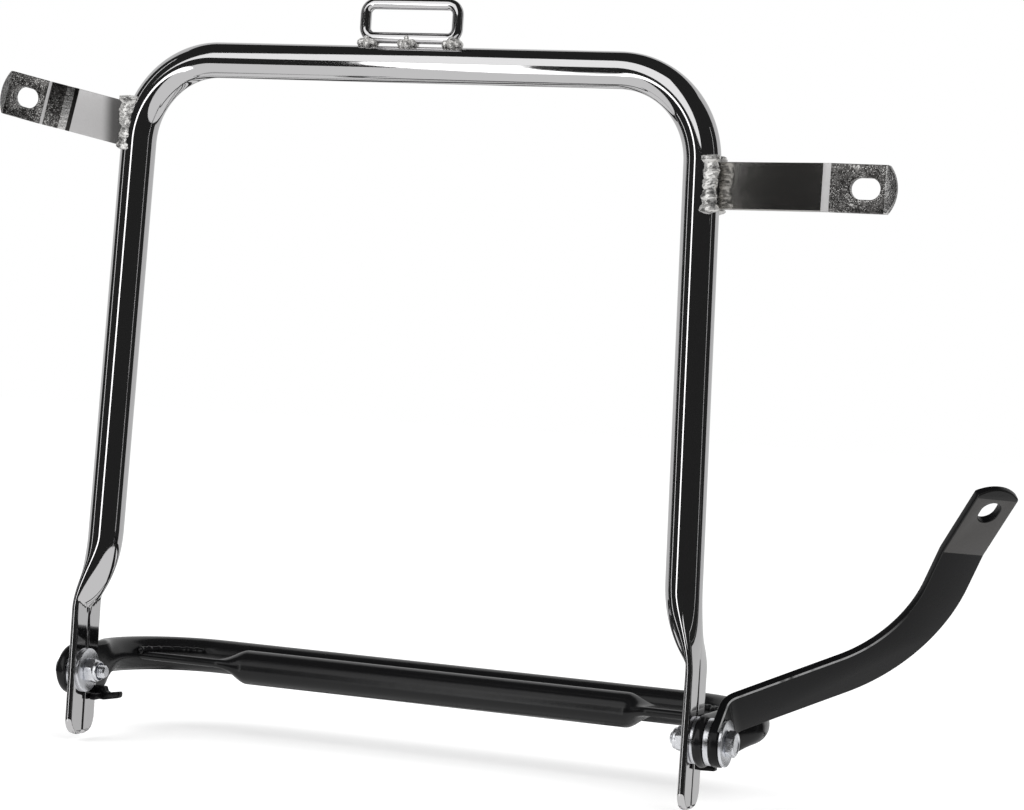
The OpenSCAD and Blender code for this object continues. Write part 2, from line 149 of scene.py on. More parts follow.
class Graph:
    """Builds the node tree of one material."""

    def __init__(self, tree: bpy.types.NodeTree) -> None:
        """Start on a cleared tree.

        Args:
            tree: The node tree to fill.
        """
        self.tree = tree
        tree.nodes.clear()

    def node(self, kind: str, settings: dict | None = None, inputs: dict | None = None, out: object = 0) -> Sock:
        """Add a node.

        Args:
            kind: The node's type name.
            settings: Properties of the node, set first.
            inputs: Values or sockets by input name or number.
            out: Name or number of the output to return.

        Returns:
            The chosen output, wrapped.
        """
        made = self.tree.nodes.new(kind)
        for name, value in (settings or {}).items():
            setattr(made, name, value)
        for name, value in (inputs or {}).items():
            self._put(made.inputs[name], value)
        return Sock(self, made.outputs[out])

    def _put(self, socket: bpy.types.NodeSocket, value: object) -> None:
        """Link a socket to a wrapped output, or set its default value."""
        while isinstance(value, Sock):
            value = value.value
        if isinstance(value, bpy.types.NodeSocket):
            self.tree.links.new(value, socket)
        else:
            socket.default_value = value

    def noise(self, scale: float, detail: float = 3.0, roughness: float = 0.5, at: Sock | None = None) -> Sock:
        """Noise on Object coordinates, scale in cycles a metre."""
        return self.node(
            "ShaderNodeTexNoise",
            {},
            {"Vector": at or self.place(), "Scale": scale, "Detail": detail, "Roughness": roughness},
        )

    def cells(self, scale: float, feature: str = "F1") -> Sock:
        """Distance to the nearest of scattered points, scale in cells a metre."""
        return self.node(
            "ShaderNodeTexVoronoi", {"feature": feature}, {"Vector": self.place(), "Scale": scale}, "Distance"
        )

    def place(self) -> Sock:
        """Object coordinates."""
        return self.node("ShaderNodeTexCoord", {}, {}, "Object")

    def sideways(self) -> Sock:
        """Object X coordinate in metres."""
        return self.node("ShaderNodeSeparateXYZ", {}, {0: self.place()}, "X")

    def height(self) -> Sock:
        """The Z part of the Object coordinates."""
        return self.node("ShaderNodeSeparateXYZ", {}, {0: self.place()}, "Z")

    def blend(self, mask: Sock, first: object, second: object) -> Sock:
        """Mix two colours by a mask."""
        return self.node(
            "ShaderNodeMix",
            {"data_type": "RGBA"},
            {"Factor": mask, 6: first, 7: second},
            2,
        )

    def bump(self, height: Sock, strength: float, distance: float, under: Sock | None = None) -> Sock:
        """A Bump node.

        Args:
            height: The height pattern, 0 to 1.
            strength: Strength of the bump.
            distance: Real height of the pattern in metres.
            under: A normal that this bump is laid on.

        Returns:
            The bumped normal.
        """
        inputs = {"Height": height, "Strength": strength, "Distance": distance}
        if under is not None:
            inputs["Normal"] = under
        return self.node("ShaderNodeBump", {}, inputs)

    def surface(self, **inputs: object) -> None:
        """End the tree in a Principled shader with these inputs, spaces written as underscores."""
        shader = self.node("ShaderNodeBsdfPrincipled", {}, {k.replace("_", " "): v for k, v in inputs.items()})
        self._end(shader)

    def _end(self, shader: Sock) -> None:
        """Link a shader to the material's output."""
        output = self.tree.nodes.new("ShaderNodeOutputMaterial")
        self._put(output.inputs["Surface"], shader)


def new_material(name: str) -> tuple[bpy.types.Material, Graph]:
    """Make an empty node material.

    Args:
        name: The material's name.

    Returns:
        The material and its graph.
    """
    material = bpy.data.materials.new(name)
    material.use_nodes = True
    return material, Graph(material.node_tree)


@dataclass(frozen=True)
class Chrome:
    """Bright chrome plate with faint haze and a few pits."""

    name: str = "chrome_plate"
    colour: tuple = (0.61, 0.605, 0.61, 1.0)
    roughness: float = 0.035

    def build(self) -> bpy.types.Material:
        """Make the material."""
        material, g = new_material(self.name)
        haze = g.noise(38.0, 4.0)
        pits = 1.0 - g.cells(520.0).above(0.02, 0.09)
        sparse = g.noise(60.0, 2.0).above(0.6, 0.7)
        spots = pits * sparse
        rough = haze * 0.03 + self.roughness + spots * 0.3
        tone = g.blend(spots * 0.55, self.colour, (0.35, 0.34, 0.33, 1.0))
        ripple = g.noise(55.0, 2.0)
        normal = g.bump(ripple, 0.08, 0.0004)
        g.surface(Base_Color=tone, Metallic=1.0, Roughness=rough, Normal=normal)
        return material


@dataclass(frozen=True)
class Paint:
    """Black paint: gloss, orange peel and a little dust."""

    name: str
    colour: tuple = (0.007, 0.007, 0.0075, 1.0)
    gloss: float = 0.16
    peel: float = 0.25
    sheen: float = 0.32

    def build(self) -> bpy.types.Material:
        """Make the material."""
        material, g = new_material(self.name)
        patches = g.noise(45.0, 4.0)
        specks = 1.0 - g.cells(700.0).above(0.03, 0.10)
        dust = specks * g.noise(90.0, 2.0).above(0.58, 0.68)
        tone = g.blend(dust * 0.5, self.colour, (0.16, 0.155, 0.15, 1.0))
        rough = patches * 0.10 + self.gloss + dust * 0.3
        normal = g.bump(g.noise(900.0, 2.0), self.peel, 0.00008)
        normal = g.bump(g.noise(120.0, 2.0), 0.12, 0.0003, normal)
        g.surface(Base_Color=tone, Roughness=rough, Normal=normal, Specular_IOR_Level=self.sheen)
        return material


@dataclass(frozen=True)
class EdgeHighlight:
    """The strut's upper edge with a painted highlight: pale grey near the bolt, fading out higher up."""

    name: str = "painted_edge_highlight"
    pale_below: float = -0.243
    dark_above: float = -0.222

    def build(self) -> bpy.types.Material:
        """Make the material."""
        material, g = new_material(self.name)
        # Painted highlight: a pale grey line, full below pale_below and gone above dark_above, broken up by noise.
        highlight_mask = 1.0 - g.height().above(self.pale_below, self.dark_above)
        uneven = g.noise(160.0, 3.0).above(0.2, 0.5)
        tone = g.blend(highlight_mask * uneven, (0.006, 0.006, 0.006, 1.0), (0.32, 0.32, 0.32, 1.0))
        g.surface(Base_Color=tone, Roughness=uneven * 0.1 + 0.3, Normal=g.bump(uneven, 0.1, 0.0001))
        return material


@dataclass(frozen=True)
class Zinc:
    """Zinc plate on fasteners: pale, soft sheen, small scuffs."""

    name: str = "zinc_plate"
    colour: tuple = (0.93, 0.94, 0.96, 1.0)

    def build(self) -> bpy.types.Material:
        """Make the material."""
        material, g = new_material(self.name)
        cloud = g.noise(260.0, 4.0)
        scuffs = g.noise(1400.0, 3.0).above(0.55, 0.7)
        tone = g.blend(cloud, self.colour, (0.70, 0.71, 0.75, 1.0))
        tone = g.blend(scuffs * 0.35, tone, (0.42, 0.43, 0.45, 1.0))
        rough = cloud * 0.15 + 0.2 + scuffs * 0.15
        normal = g.bump(g.noise(1800.0, 2.0), 0.25, 0.00006)
        g.surface(Base_Color=tone, Metallic=1.0, Roughness=rough, Normal=normal)
        return material


@dataclass(frozen=True)
class RoughPlate:
    """Plated flat bar, smooth to speckled, which can take a painted shade that darkens it along X."""

    name: str
    colour: tuple = (0.60, 0.585, 0.56, 1.0)
    speckle: float = 0.8
    roughness: float = 0.2
    metal: float = 1.0
    painted_shade: tuple | None = None

    def build(self) -> bpy.types.Material:
        """Make the material."""
        material, g = new_material(self.name)
        grains = g.noise(1500.0, 3.0, 0.7)
        coarse = g.noise(420.0, 4.0, 0.65)
        specks = grains.above(0.50, 0.66) * self.speckle
        tone = g.blend(specks * 0.85, self.colour, (0.12, 0.115, 0.11, 1.0))
        # Painted shade: the tone turns dark along Object X, towards the weld of the left bracket.
        if self.painted_shade is not None:
            tone = g.blend(g.sideways().above(*self.painted_shade) * 0.85, tone, (0.06, 0.058, 0.056, 1.0))
        rough = specks * 0.25 + self.roughness + coarse * 0.1
        normal = g.bump(grains, 0.35 * self.speckle + 0.02, 0.00025)
        normal = g.bump(coarse, 0.3 * self.speckle + 0.02, 0.0004, normal)
        g.surface(Base_Color=tone, Metallic=self.metal, Roughness=rough, Normal=normal)
        return material


@dataclass(frozen=True)
class WeldMetal:
    """Plated weld bead: bright, lumpy and uneven in its sheen."""

    name: str = "weld_metal"
    colour: tuple = (0.80, 0.79, 0.77, 1.0)

    def build(self) -> bpy.types.Material:
        """Make the material."""
        material, g = new_material(self.name)
        lumps = g.noise(330.0, 3.0, 0.6)
        fine = g.noise(1300.0, 2.0)
        hollows = 1.0 - lumps.above(0.34, 0.50)
        tone = g.blend(hollows * 0.85, self.colour, (0.12, 0.117, 0.115, 1.0))
        normal = g.bump(lumps, 0.5, 0.0008)
        normal = g.bump(fine, 0.2, 0.0001, normal)
        g.surface(Base_Color=tone, Metallic=0.6, Roughness=lumps * 0.2 + 0.06, Normal=normal)
        return material


@dataclass(frozen=True)
class GrainyPlate:
    """Thin plate over rough bar: dark with bright grains."""

    name: str
    dark: tuple = (0.06, 0.058, 0.056, 1.0)
    grey: tuple = (0.26, 0.25, 0.245, 1.0)

    def build(self) -> bpy.types.Material:
        """Make the material."""
        material, g = new_material(self.name)
        grains = g.noise(1700.0, 2.0, 0.7)
        cloud = g.noise(150.0, 3.0)
        mottle = g.noise(520.0, 4.0, 0.65)
        specks = (grains + cloud * 0.25).above(0.66, 0.76)
        tone = g.blend(mottle.above(0.35, 0.75), self.dark, self.grey)
        tone = g.blend(specks * 0.9, tone, (0.85, 0.84, 0.82, 1.0))
        rough = mottle * 0.2 + 0.2 - specks * 0.05
        normal = g.bump(grains, 0.5, 0.00025)
        normal = g.bump(mottle, 0.5, 0.0005, normal)
        g.surface(Base_Color=tone, Metallic=1.0, Roughness=rough, Normal=normal)
        return material


@dataclass(frozen=True)
class Plastic:
    """Dark blue-grey plastic of the nuts' rings."""

    name: str = "ring_plastic"
    colour: tuple = (0.05, 0.06, 0.09, 1.0)

    def build(self) -> bpy.types.Material:
        """Make the material."""
        material, g = new_material(self.name)
        mottle = g.noise(900.0, 3.0)
        tone = g.blend(mottle, self.colour, (0.09, 0.10, 0.13, 1.0))
        g.surface(Base_Color=tone, Roughness=mottle * 0.2 + 0.35, Normal=g.bump(mottle, 0.2, 0.00005))
        return material


# --------------------------------------------------------------------------- mesh tools


def circle_point(radius: float, angle: float) -> tuple[float, float]:
    """A point of a circle, its first axis at angle 0."""
    return radius * math.cos(angle), radius * math.sin(angle)


def stadium_point(half_w: float, thick: float, angle: float) -> tuple[float, float]:
    """A point of a flat pressed tube's outline, spaced evenly along each half.

    Args:
        half_w: Half of the width.
        thick: Thickness over both walls.
        angle: Angle round the tube before it was pressed; 0 is the middle of one face.

    Returns:
        Distance through the flat and distance across it.
    """
    round_r = min(thick / 2, half_w)
    straight = half_w - round_r
    turn = math.remainder(angle, 2 * HALF_TURN)
    face = 1.0 if abs(turn) <= QUARTER_TURN else -1.0
    share = turn / QUARTER_TURN if face > 0 else math.remainder(HALF_TURN - turn, 2 * HALF_TURN) / QUARTER_TURN
    along = abs(share) * (straight + round_r * QUARTER_TURN)
    side = math.copysign(1.0, share)
    if along <= straight:
        return face * thick / 2, side * along
    lean = (along - straight) / round_r
    return face * thick / 2 * math.cos(lean), side * (straight + round_r * math.sin(lean))


def ease(share: float) -> float:
    """A smooth step from 0 to 1."""
    share = min(max(share, 0.0), 1.0)
    return share * share * (3 - 2 * share)


def ease_in(share: float) -> float:
    """A ramp that starts softly and ends in a crisp edge."""
    share = min(max(share, 0.0), 1.0)
    return share * share * (2 - share)


def mix(first: float, second: float, share: float) -> float:
    """Straight blend of two numbers."""
    return first + (second - first) * share


Ring = Callable[[float], Vector]


class Loft:
    """A skin extruded ring by ring from a circle of vertices, in millimetres."""

    def __init__(self, sides: int = 64) -> None:
        """Start an empty skin.

        Args:
            sides: Vertices in each ring.
        """
        self.bm = bmesh.new()
        self.sides = sides
        self.order = self.bm.verts.layers.int.new("order")
        self.edges: list = []

    def _place(self, verts: Iterable, ring: Ring) -> None:
        """Move a ring's vertices to where they belong."""
        for vert in verts:
            vert.co = ring(vert[self.order] * 2 * HALF_TURN / self.sides)

    def add(self, ring: Ring, look: int = 0) -> None:
        """Extrude the open end to a new ring.

        Args:
            ring: Gives the place of the vertex at an angle.
            look: Material number of the faces between the last ring and this one.
        """
        if not self.edges:
            made = bmesh.ops.create_circle(self.bm, cap_ends=False, radius=1.0, segments=self.sides)
            for number, vert in enumerate(made["verts"]):
                vert[self.order] = number
            self._place(made["verts"], ring)
            self.edges = list(self.bm.edges)
            return
        before = len(self.bm.faces)
        made = bmesh.ops.extrude_edge_only(self.bm, edges=self.edges)["geom"]
        verts = {g for g in made if isinstance(g, bmesh.types.BMVert)}
        self.edges = [g for g in made if isinstance(g, bmesh.types.BMEdge) and set(g.verts) <= verts]
        self._place(verts, ring)
        self.bm.faces.ensure_lookup_table()
        for number in range(before, len(self.bm.faces)):
            self.bm.faces[number].material_index = look

    def cap(self) -> None:
        """Close the open end with one face."""
        bmesh.ops.edgeloop_fill(self.bm, edges=self.edges)

    def cap_both(self) -> None:
        """Close both ends."""
        bmesh.ops.holes_fill(self.bm, edges=self.bm.edges[:], sides=0)


def mirror_x(bm: bmesh.types.BMesh) -> None:
    """Add the mirror image across X = 0 and join the halves."""
    bmesh.ops.mirror(bm, geom=bm.verts[:] + bm.edges[:] + bm.faces[:], matrix=Matrix.Identity(4),
                     merge_dist=0.0005, axis="X")
    bmesh.ops.remove_doubles(bm, verts=bm.verts[:], dist=0.0005)


def flip_x(bm: bmesh.types.BMesh) -> None:
    """Turn the mesh into its mirror image across X = 0."""
    bmesh.ops.scale(bm, vec=Vector((-1, 1, 1)), verts=bm.verts[:])
    bmesh.ops.reverse_faces(bm, faces=bm.faces[:])


def roughen(bm: bmesh.types.BMesh, verts: Iterable, depth: float, grain: float) -> None:
    """Push vertices in and out along their normals by noise.

    Args:
        bm: The mesh.
        verts: Vertices to move.
        depth: Largest move in millimetres.
        grain: Size of the lumps in millimetres.
    """
    bm.normal_update()
    for vert in list(verts):
        wave = noise.noise(vert.co / grain) + 0.5 * noise.noise(vert.co / grain * 2.3)
        vert.co += vert.normal * wave * depth


@dataclass
class Dresser:
    """Turns finished meshes into pieces of the visual model."""

    looks: dict

    def finish(self, name: str, bm: bmesh.types.BMesh, looks: Sequence[str], body: Body, slot: Slot,
               replaced: Sequence[str], crisp: float = 32.0) -> bpy.types.Object:
        """Make an object, scaled to metres, hang it on its body and hide the CAD nodes it replaces.

        Args:
            name: Name of the piece.
            bm: Mesh in millimetres; it is freed.
            looks: Names of its materials.
            body: Body that it rides on.
            slot: Material slot in the record; not used.
            replaced: CAD nodes that it takes the place of.
            crisp: Edges sharper than this many degrees stay sharp.

        Returns:
            The new object.
        """
        bmesh.ops.recalc_face_normals(bm, faces=bm.faces[:])
        bmesh.ops.scale(bm, vec=Vector((MM, MM, MM)), verts=bm.verts[:])
        mesh = bpy.data.meshes.new(name)
        bm.to_mesh(mesh)
        bm.free()
        mesh.polygons.foreach_set("use_smooth", [True] * len(mesh.polygons))
        mesh.set_sharp_from_angle(angle=math.radians(crisp))
        for look in looks:
            mesh.materials.append(self.looks[look])
        piece = bpy.data.objects.new(name, mesh)
        bpy.context.scene.collection.objects.link(piece)
        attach(piece, body.value)
        if replaced:
            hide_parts(*replaced)
        LOG.info("%s: %d faces", name, len(mesh.polygons))
        return piece


# --------------------------------------------------------------------------- pressed tubes


@dataclass(frozen=True)
class Hoop:
    """The chrome hoop: one bent tube whose feet are pressed flat and creased."""

    bend_r: float = 39.0
    splay: float = math.radians(1.37)
    flat_top: float = 31.0
    round_from: float = 63.0
    foot_below: float = 29.4
    crease_deep: float = 0.45
    slit_top: float = -9.0
    slit_low: float = -13.7

    def leg_x(self, height: float) -> float:
        """Half-width of the leg's axis at a height above the bolts."""
        return FOOT_HALF - height * math.tan(self.splay)

    def build(self, dresser: Dresser) -> None:
        """Make the piece."""
        loft = Loft(96)
        turn = QUARTER_TURN - self.splay
        top_x = self.leg_x(HOOP_H - self.bend_r * (1 - math.sin(self.splay)))
        corner_x = top_x - self.bend_r * math.cos(self.splay)
        for k in range(13):
            loft.add(self._round(Vector((corner_x * k / 12, 0, 0)), 0.0))
        for k in range(1, 41):
            lean = turn * k / 40
            at = Vector((corner_x + self.bend_r * math.sin(lean), 0, self.bend_r * (math.cos(lean) - 1)))
            loft.add(self._round(at, lean))
        leg_top = HOOP_H - self.bend_r * (1 - math.sin(self.splay))
        for k in range(1, 21):
            height = mix(leg_top, self.round_from + 4, k / 20)
            loft.add(self._round(Vector((self.leg_x(height), 0, height - HOOP_H)), turn))
        self._pressed(loft)
        mirror_x(loft.bm)
        dresser.finish("chrome_hoop", loft.bm, ("chrome", "gap"), Body.FRAME, Slot.CHROME, ("hoop",), 28.0)

    def _round(self, at: Vector, lean: float) -> Ring:
        """A round ring at a place, its first axis turned by lean from up towards +X."""
        out = Vector((math.sin(lean), 0, math.cos(lean)))

        def ring(angle: float) -> Vector:
            """Point of the round tube."""
            a, b = circle_point(TUBE_R, angle)
            return at + out * a + Vector((0, b, 0))

        return ring

    def _pressed(self, loft: Loft) -> None:
        """Add the cone, the flat with its crease and the rounded end."""
        rows = [mix(self.round_from + 4, self.flat_top - 2.5, k / 44) for k in range(1, 45)]
        rows += [25.0, 20.0, 15.0, 10.0, 4.0, -4.0, self.slit_top + 0.1, self.slit_top, -11.5,
                 self.slit_low, self.slit_low - 0.1, -17.0, -20.5]
        corner = 0.36 * FLAT_W
        ends = [corner * math.cos(QUARTER_TURN * k / 12) for k in range(1, 13)]
        rows += [corner - self.foot_below - (corner - e) for e in ends[:-1]]
        last = None
        for height in rows:
            slit = last is not None and last <= self.slit_top + 0.01 and height >= self.slit_low - 0.01
            loft.add(self._flat_ring(height, slit or height == self.slit_top))
            if slit:
                self._darken(loft)
            last = height
        loft.add(self._flat_ring(-self.foot_below + 0.02, False, 0.72))
        loft.cap()

    def _darken(self, loft: Loft) -> None:
        """Give the slit's faces the dark look."""
        loft.bm.faces.ensure_lookup_table()
        for face in loft.bm.faces[-loft.sides:]:
            mid = face.calc_center_median()
            if abs(mid.y) < 0.5 and mid.x < FOOT_OUT - FOOT_T / 2:
                face.material_index = 1

    def _flat_ring(self, height: float, slit: bool, thin: float = 1.0) -> Ring:
        """A ring of the pressed end.

        Args:
            height: Height above the bolt axis.
            slit: True where the crease is open.
            thin: Share of the thickness, less than 1 at the rounded end.

        Returns:
            The ring.
        """
        corner = 0.36 * FLAT_W
        half_w = FLAT_W / 2
        above = height + self.foot_below
        if above < corner:
            half_w = FLAT_W / 2 - corner + math.sqrt(max(corner ** 2 - (corner - above) ** 2, 0.0))
        middle = FOOT_OUT - FOOT_T / 2
        out = Vector((math.cos(self.splay), 0, math.sin(self.splay)))
        axis = Vector((self.leg_x(height), 0, height - HOOP_H))

        def ring(angle: float) -> Vector:
            """Point between the round and the flat outline."""
            through, across = stadium_point(half_w, FOOT_T * thin, angle)
            share = abs(across) / (FLAT_W / 2)
            inner = ease(-math.cos(angle) * 1.6 + 0.2)
            low = self.flat_top - 2.3 + 4.6 * share ** 1.4
            pressed = min(max((self.round_from + 4 - height) / (self.round_from + 4 - low), 0.0), 1.0)
            press_in = pressed ** 2.3
            press_out = ease((self.round_from - height) / (self.round_from - self.flat_top + 3))
            press = mix(press_out, press_in, inner)
            scoop = -0.8 * press * (1 - press) * (1 - share ** 2) * inner
            crease = self.crease_deep * max(0.0, 1 - abs(across) / 1.15) * ease(press * 3 - 2)
            if slit and through < 0 and abs(across) < 0.3:
                crease += 1.1
            depth = through - math.copysign(crease, through)
            flat = Vector((middle + depth, across, height - HOOP_H))
            a, b = circle_point(TUBE_R, angle)
            point = (axis + out * a + Vector((0, b, 0))).lerp(flat, press)
            point.x += scoop
            return point

        return ring


@dataclass(frozen=True)
class BagSupport:
    """The black U: a bent tube whose arms end in pressed, rounded flats."""

    reach: float = 84.0
    bend_r: float = 41.0
    rise: float = 2.4
    flat_y: float = 28.0

    def build(self, dresser: Dresser) -> None:
        """Make the piece."""
        loft = Loft(80)
        axis_x = ARM_IN + TUBE_R
        corner = Vector((axis_x - self.bend_r, self.reach - self.bend_r))
        for k in range(11):
            loft.add(self._round(Vector((corner.x * k / 10, self.reach, self.rise - HOOP_H)), QUARTER_TURN))
        for k in range(1, 33):
            lean = QUARTER_TURN * (1 - k / 32)
            at = Vector((corner.x + self.bend_r * math.cos(lean), corner.y + self.bend_r * math.sin(lean),
                         self.rise - HOOP_H))
            loft.add(self._round(at, lean))
        rows = [mix(corner.y, self.flat_y - 1.5, k / 22) for k in range(1, 23)]
        rows += [20.0, 14.0, 7.0, 0.0]
        rows += [-FLAT_W / 2 * math.sin(QUARTER_TURN * k / 16) for k in range(1, 16)]
        for y in rows:
            loft.add(self._arm_ring(y, corner.y, axis_x))
        loft.add(self._arm_ring(-FLAT_W / 2 + 0.01, corner.y, axis_x, 0.7))
        loft.cap()
        mirror_x(loft.bm)
        dresser.finish("support_tube", loft.bm, ("black_gloss",), Body.SUPPORT, Slot.BLACK_PAINT,
                       ("bag_support",), 30.0)

    def _round(self, at: Vector, lean: float) -> Ring:
        """A round ring at a place, its first axis outward at lean from +X towards +Y."""
        out = Vector((math.cos(lean), math.sin(lean), 0))

        def ring(angle: float) -> Vector:
            """Point of the round tube."""
            a, b = circle_point(TUBE_R, angle)
            return at + out * a + Vector((0, 0, b))

        return ring

    def _arm_ring(self, y: float, round_from: float, axis_x: float, thin: float = 1.0) -> Ring:
        """A ring of the pressed arm at a distance behind the bolts."""
        half_w = FLAT_W / 2
        if y < 0:
            half_w = math.sqrt(max(half_w ** 2 - y ** 2, 0.36))
        middle = ARM_IN + ARM_T / 2

        def ring(angle: float) -> Vector:
            """Point between the round and the flat outline."""
            through, across = stadium_point(half_w, ARM_T * thin, angle)
            share = abs(across) / (FLAT_W / 2)
            outer = ease(math.cos(angle) * 1.6 + 0.2)
            low = self.flat_y - 2.0 + 3.0 * share ** 1.4
            press_a = ease_in((round_from - y) / (round_from - low))
            press_b = ease((round_from - y) / (round_from - self.flat_y + 2))
            press = mix(press_b, press_a, outer)
            flat = Vector((middle + through, y, across - HOOP_H))
            a, b = circle_point(TUBE_R, angle)
            point = Vector((axis_x + a, y, self.rise + b - HOOP_H)).lerp(flat, press)
            point.x -= 2.0 * press * (1 - press) * (1 - share ** 2) * outer
            return point

        return ring


@dataclass(frozen=True)
class CrossTube:
    """The black tube between the arms, its ends pressed flat and welded into the bends."""

    reach: float = 66.0
    drop: float = 1.4
    rise: float = 2.4
    round_half: float = 95.0
    flat_from: float = 108.0

    def build(self, dresser: Dresser) -> None:
        """Make the piece and its weld beads."""
        loft = Loft(80)
        for k in range(9):
            loft.add(self._ring(self.round_half * k / 8))
        for k in range(1, 23):
            loft.add(self._ring(mix(self.round_half, self.flat_from + 2, k / 22)))
        for k in range(1, 9):
            loft.add(self._ring(self.flat_from + 2, k / 8))
        loft.cap()
        mirror_x(loft.bm)
        dresser.finish("cross_tube_skin", loft.bm, ("black_gloss",), Body.SUPPORT, Slot.BLACK_PAINT,
                       ("cross_tube",), 30.0)
        bead = self._bead()
        mirror_x(bead)
        dresser.finish("cross_tube_welds", bead, ("black_gloss",), Body.SUPPORT, Slot.BLACK_PAINT, (), 60.0)

    def _end_x(self, across: float) -> float:
        """Where the flat ends, inside the wall of the support's bend."""
        corner_x = ARM_IN + TUBE_R - 41.0
        depth = self.reach + across - 43.0
        return corner_x + math.sqrt(max(39.0 ** 2 - depth ** 2, 0.0))

    def _ring(self, x: float, stretch: float = 0.0) -> Ring:
        """A ring at x, or stretched towards the curved end."""

        def ring(angle: float) -> Vector:
            """Point between the round and the flat outline."""
            through, across = stadium_point(FLAT_W / 2, ARM_T, angle)
            share = abs(across) / (FLAT_W / 2)
            low = self.flat_from - 3.5 * share ** 1.3 + 1.5
            press = ease_in((x - self.round_half) / (low - self.round_half))
            press = mix(press, ease((x - self.round_half) / (self.flat_from - self.round_half)), 0.35 + 0.65 * share)
            a, b = circle_point(TUBE_R, angle)
            point = Vector((x, b, a - self.drop)).lerp(Vector((x, across, through)), press)
            point.z -= math.copysign(1.6, math.cos(angle)) * press * (1 - press) * (1 - share ** 2) * abs(math.cos(angle))
            point.x = mix(x, self._end_x(across), stretch)
            return point + Vector((0, self.reach, self.rise - HOOP_H))

        return ring

    def _bead(self) -> bmesh.types.BMesh:
        """The rippled weld bead along the inside of the bend."""
        loft = Loft(20)
        corner = Vector((ARM_IN + TUBE_R - 41.0, 43.0, self.rise - HOOP_H + ARM_T / 2 + 0.5))
        rows = 120
        for k in range(rows + 1):
            lean = math.radians(mix(19.0, 80.0, k / rows))
            size = 1.7 + 0.16 * abs(math.sin(k * HALF_TURN / 9)) + 0.12 * math.sin(k * 0.37)
            size *= ease(min(k, rows - k) / 5 + 0.15)
            out = Vector((math.cos(lean), math.sin(lean), 0))
            loft.add(self._bead_ring(corner + out * 32.3, out, size))
        loft.cap_both()
        roughen(loft.bm, loft.bm.verts, 0.15, 2.0)
        return loft.bm

    @staticmethod
    def _bead_ring(at: Vector, out: Vector, size: float) -> Ring:
        """A round ring of the bead."""

        def ring(angle: float) -> Vector:
            """Point of the bead."""
            a, b = circle_point(size, angle)
            return at + out * a + Vector((0, 0, b))

        return ring


# --------------------------------------------------------------------------- flat bars


@dataclass(frozen=True)
class Fold:
    """A fold across a flat blank.

    Attributes:
        at: Place where the fold starts, on the blank, in millimetres.
        ahead: Direction of the part that is folded, in degrees from +X towards +Z.
        turn: Angle of the fold in degrees, positive towards +Y.
        inner: Inner radius.
    """

    at: tuple[float, float]
    ahead: float
    turn: float
    inner: float

    def move(self, point: Vector, thick: float) -> Vector:
        """Where a point of the blank goes."""
        heading = math.radians(self.ahead)
        ahead = Vector((math.cos(heading), 0, math.sin(heading)))
        start = Vector((self.at[0], 0, self.at[1]))
        along = (point - start).dot(ahead)
        if along <= 0:
            return point
        side = 1.0 if self.turn > 0 else -1.0
        mid_r = self.inner + thick / 2
        whole = abs(math.radians(self.turn))
        lean = min(along / mid_r, whole)
        rest = along - lean * mid_r
        arm = mid_r - side * point.y
        new_along = arm * math.sin(lean) + rest * math.cos(lean)
        new_y = side * (mid_r - arm * math.cos(lean) + rest * math.sin(lean))
        return point + ahead * (new_along - along) + Vector((0, new_y - point.y, 0))

    def length(self, thick: float) -> float:
        """Length of the fold on the bar's middle."""
        return (self.inner + thick / 2) * abs(math.radians(self.turn))


def slot_loop(centre: Vector, ahead: float, wide: float, long: float) -> list[Vector]:
    """Outline of a slot on the blank, long along ahead degrees."""
    heading = math.radians(ahead)
    along = Vector((math.cos(heading), 0, math.sin(heading)))
    across = Vector((-along.z, 0, along.x))
    loop = []
    for k in range(40):
        lean = -QUARTER_TURN + 2 * HALF_TURN * (k + 0.5) / 40
        shift = (long - wide) / 2 * (1 if math.cos(lean) > 0 else -1)
        loop.append(centre + along * (shift + wide / 2 * math.cos(lean)) + across * wide / 2 * math.sin(lean))
    return loop


def bar_loop(start: float, end: float, half_w: float, arc_r: float) -> list[Vector]:
    """Outline of a straight bar with an arc across its far end."""
    half = math.asin(half_w / arc_r)
    middle = end - arc_r
    arc = [Vector((middle + arc_r * math.cos(a), 0, arc_r * math.sin(a)))
           for a in (mix(-half, half, k / 24) for k in range(25))]
    return [Vector((start, 0, -half_w)), *arc, Vector((start, 0, half_w))]


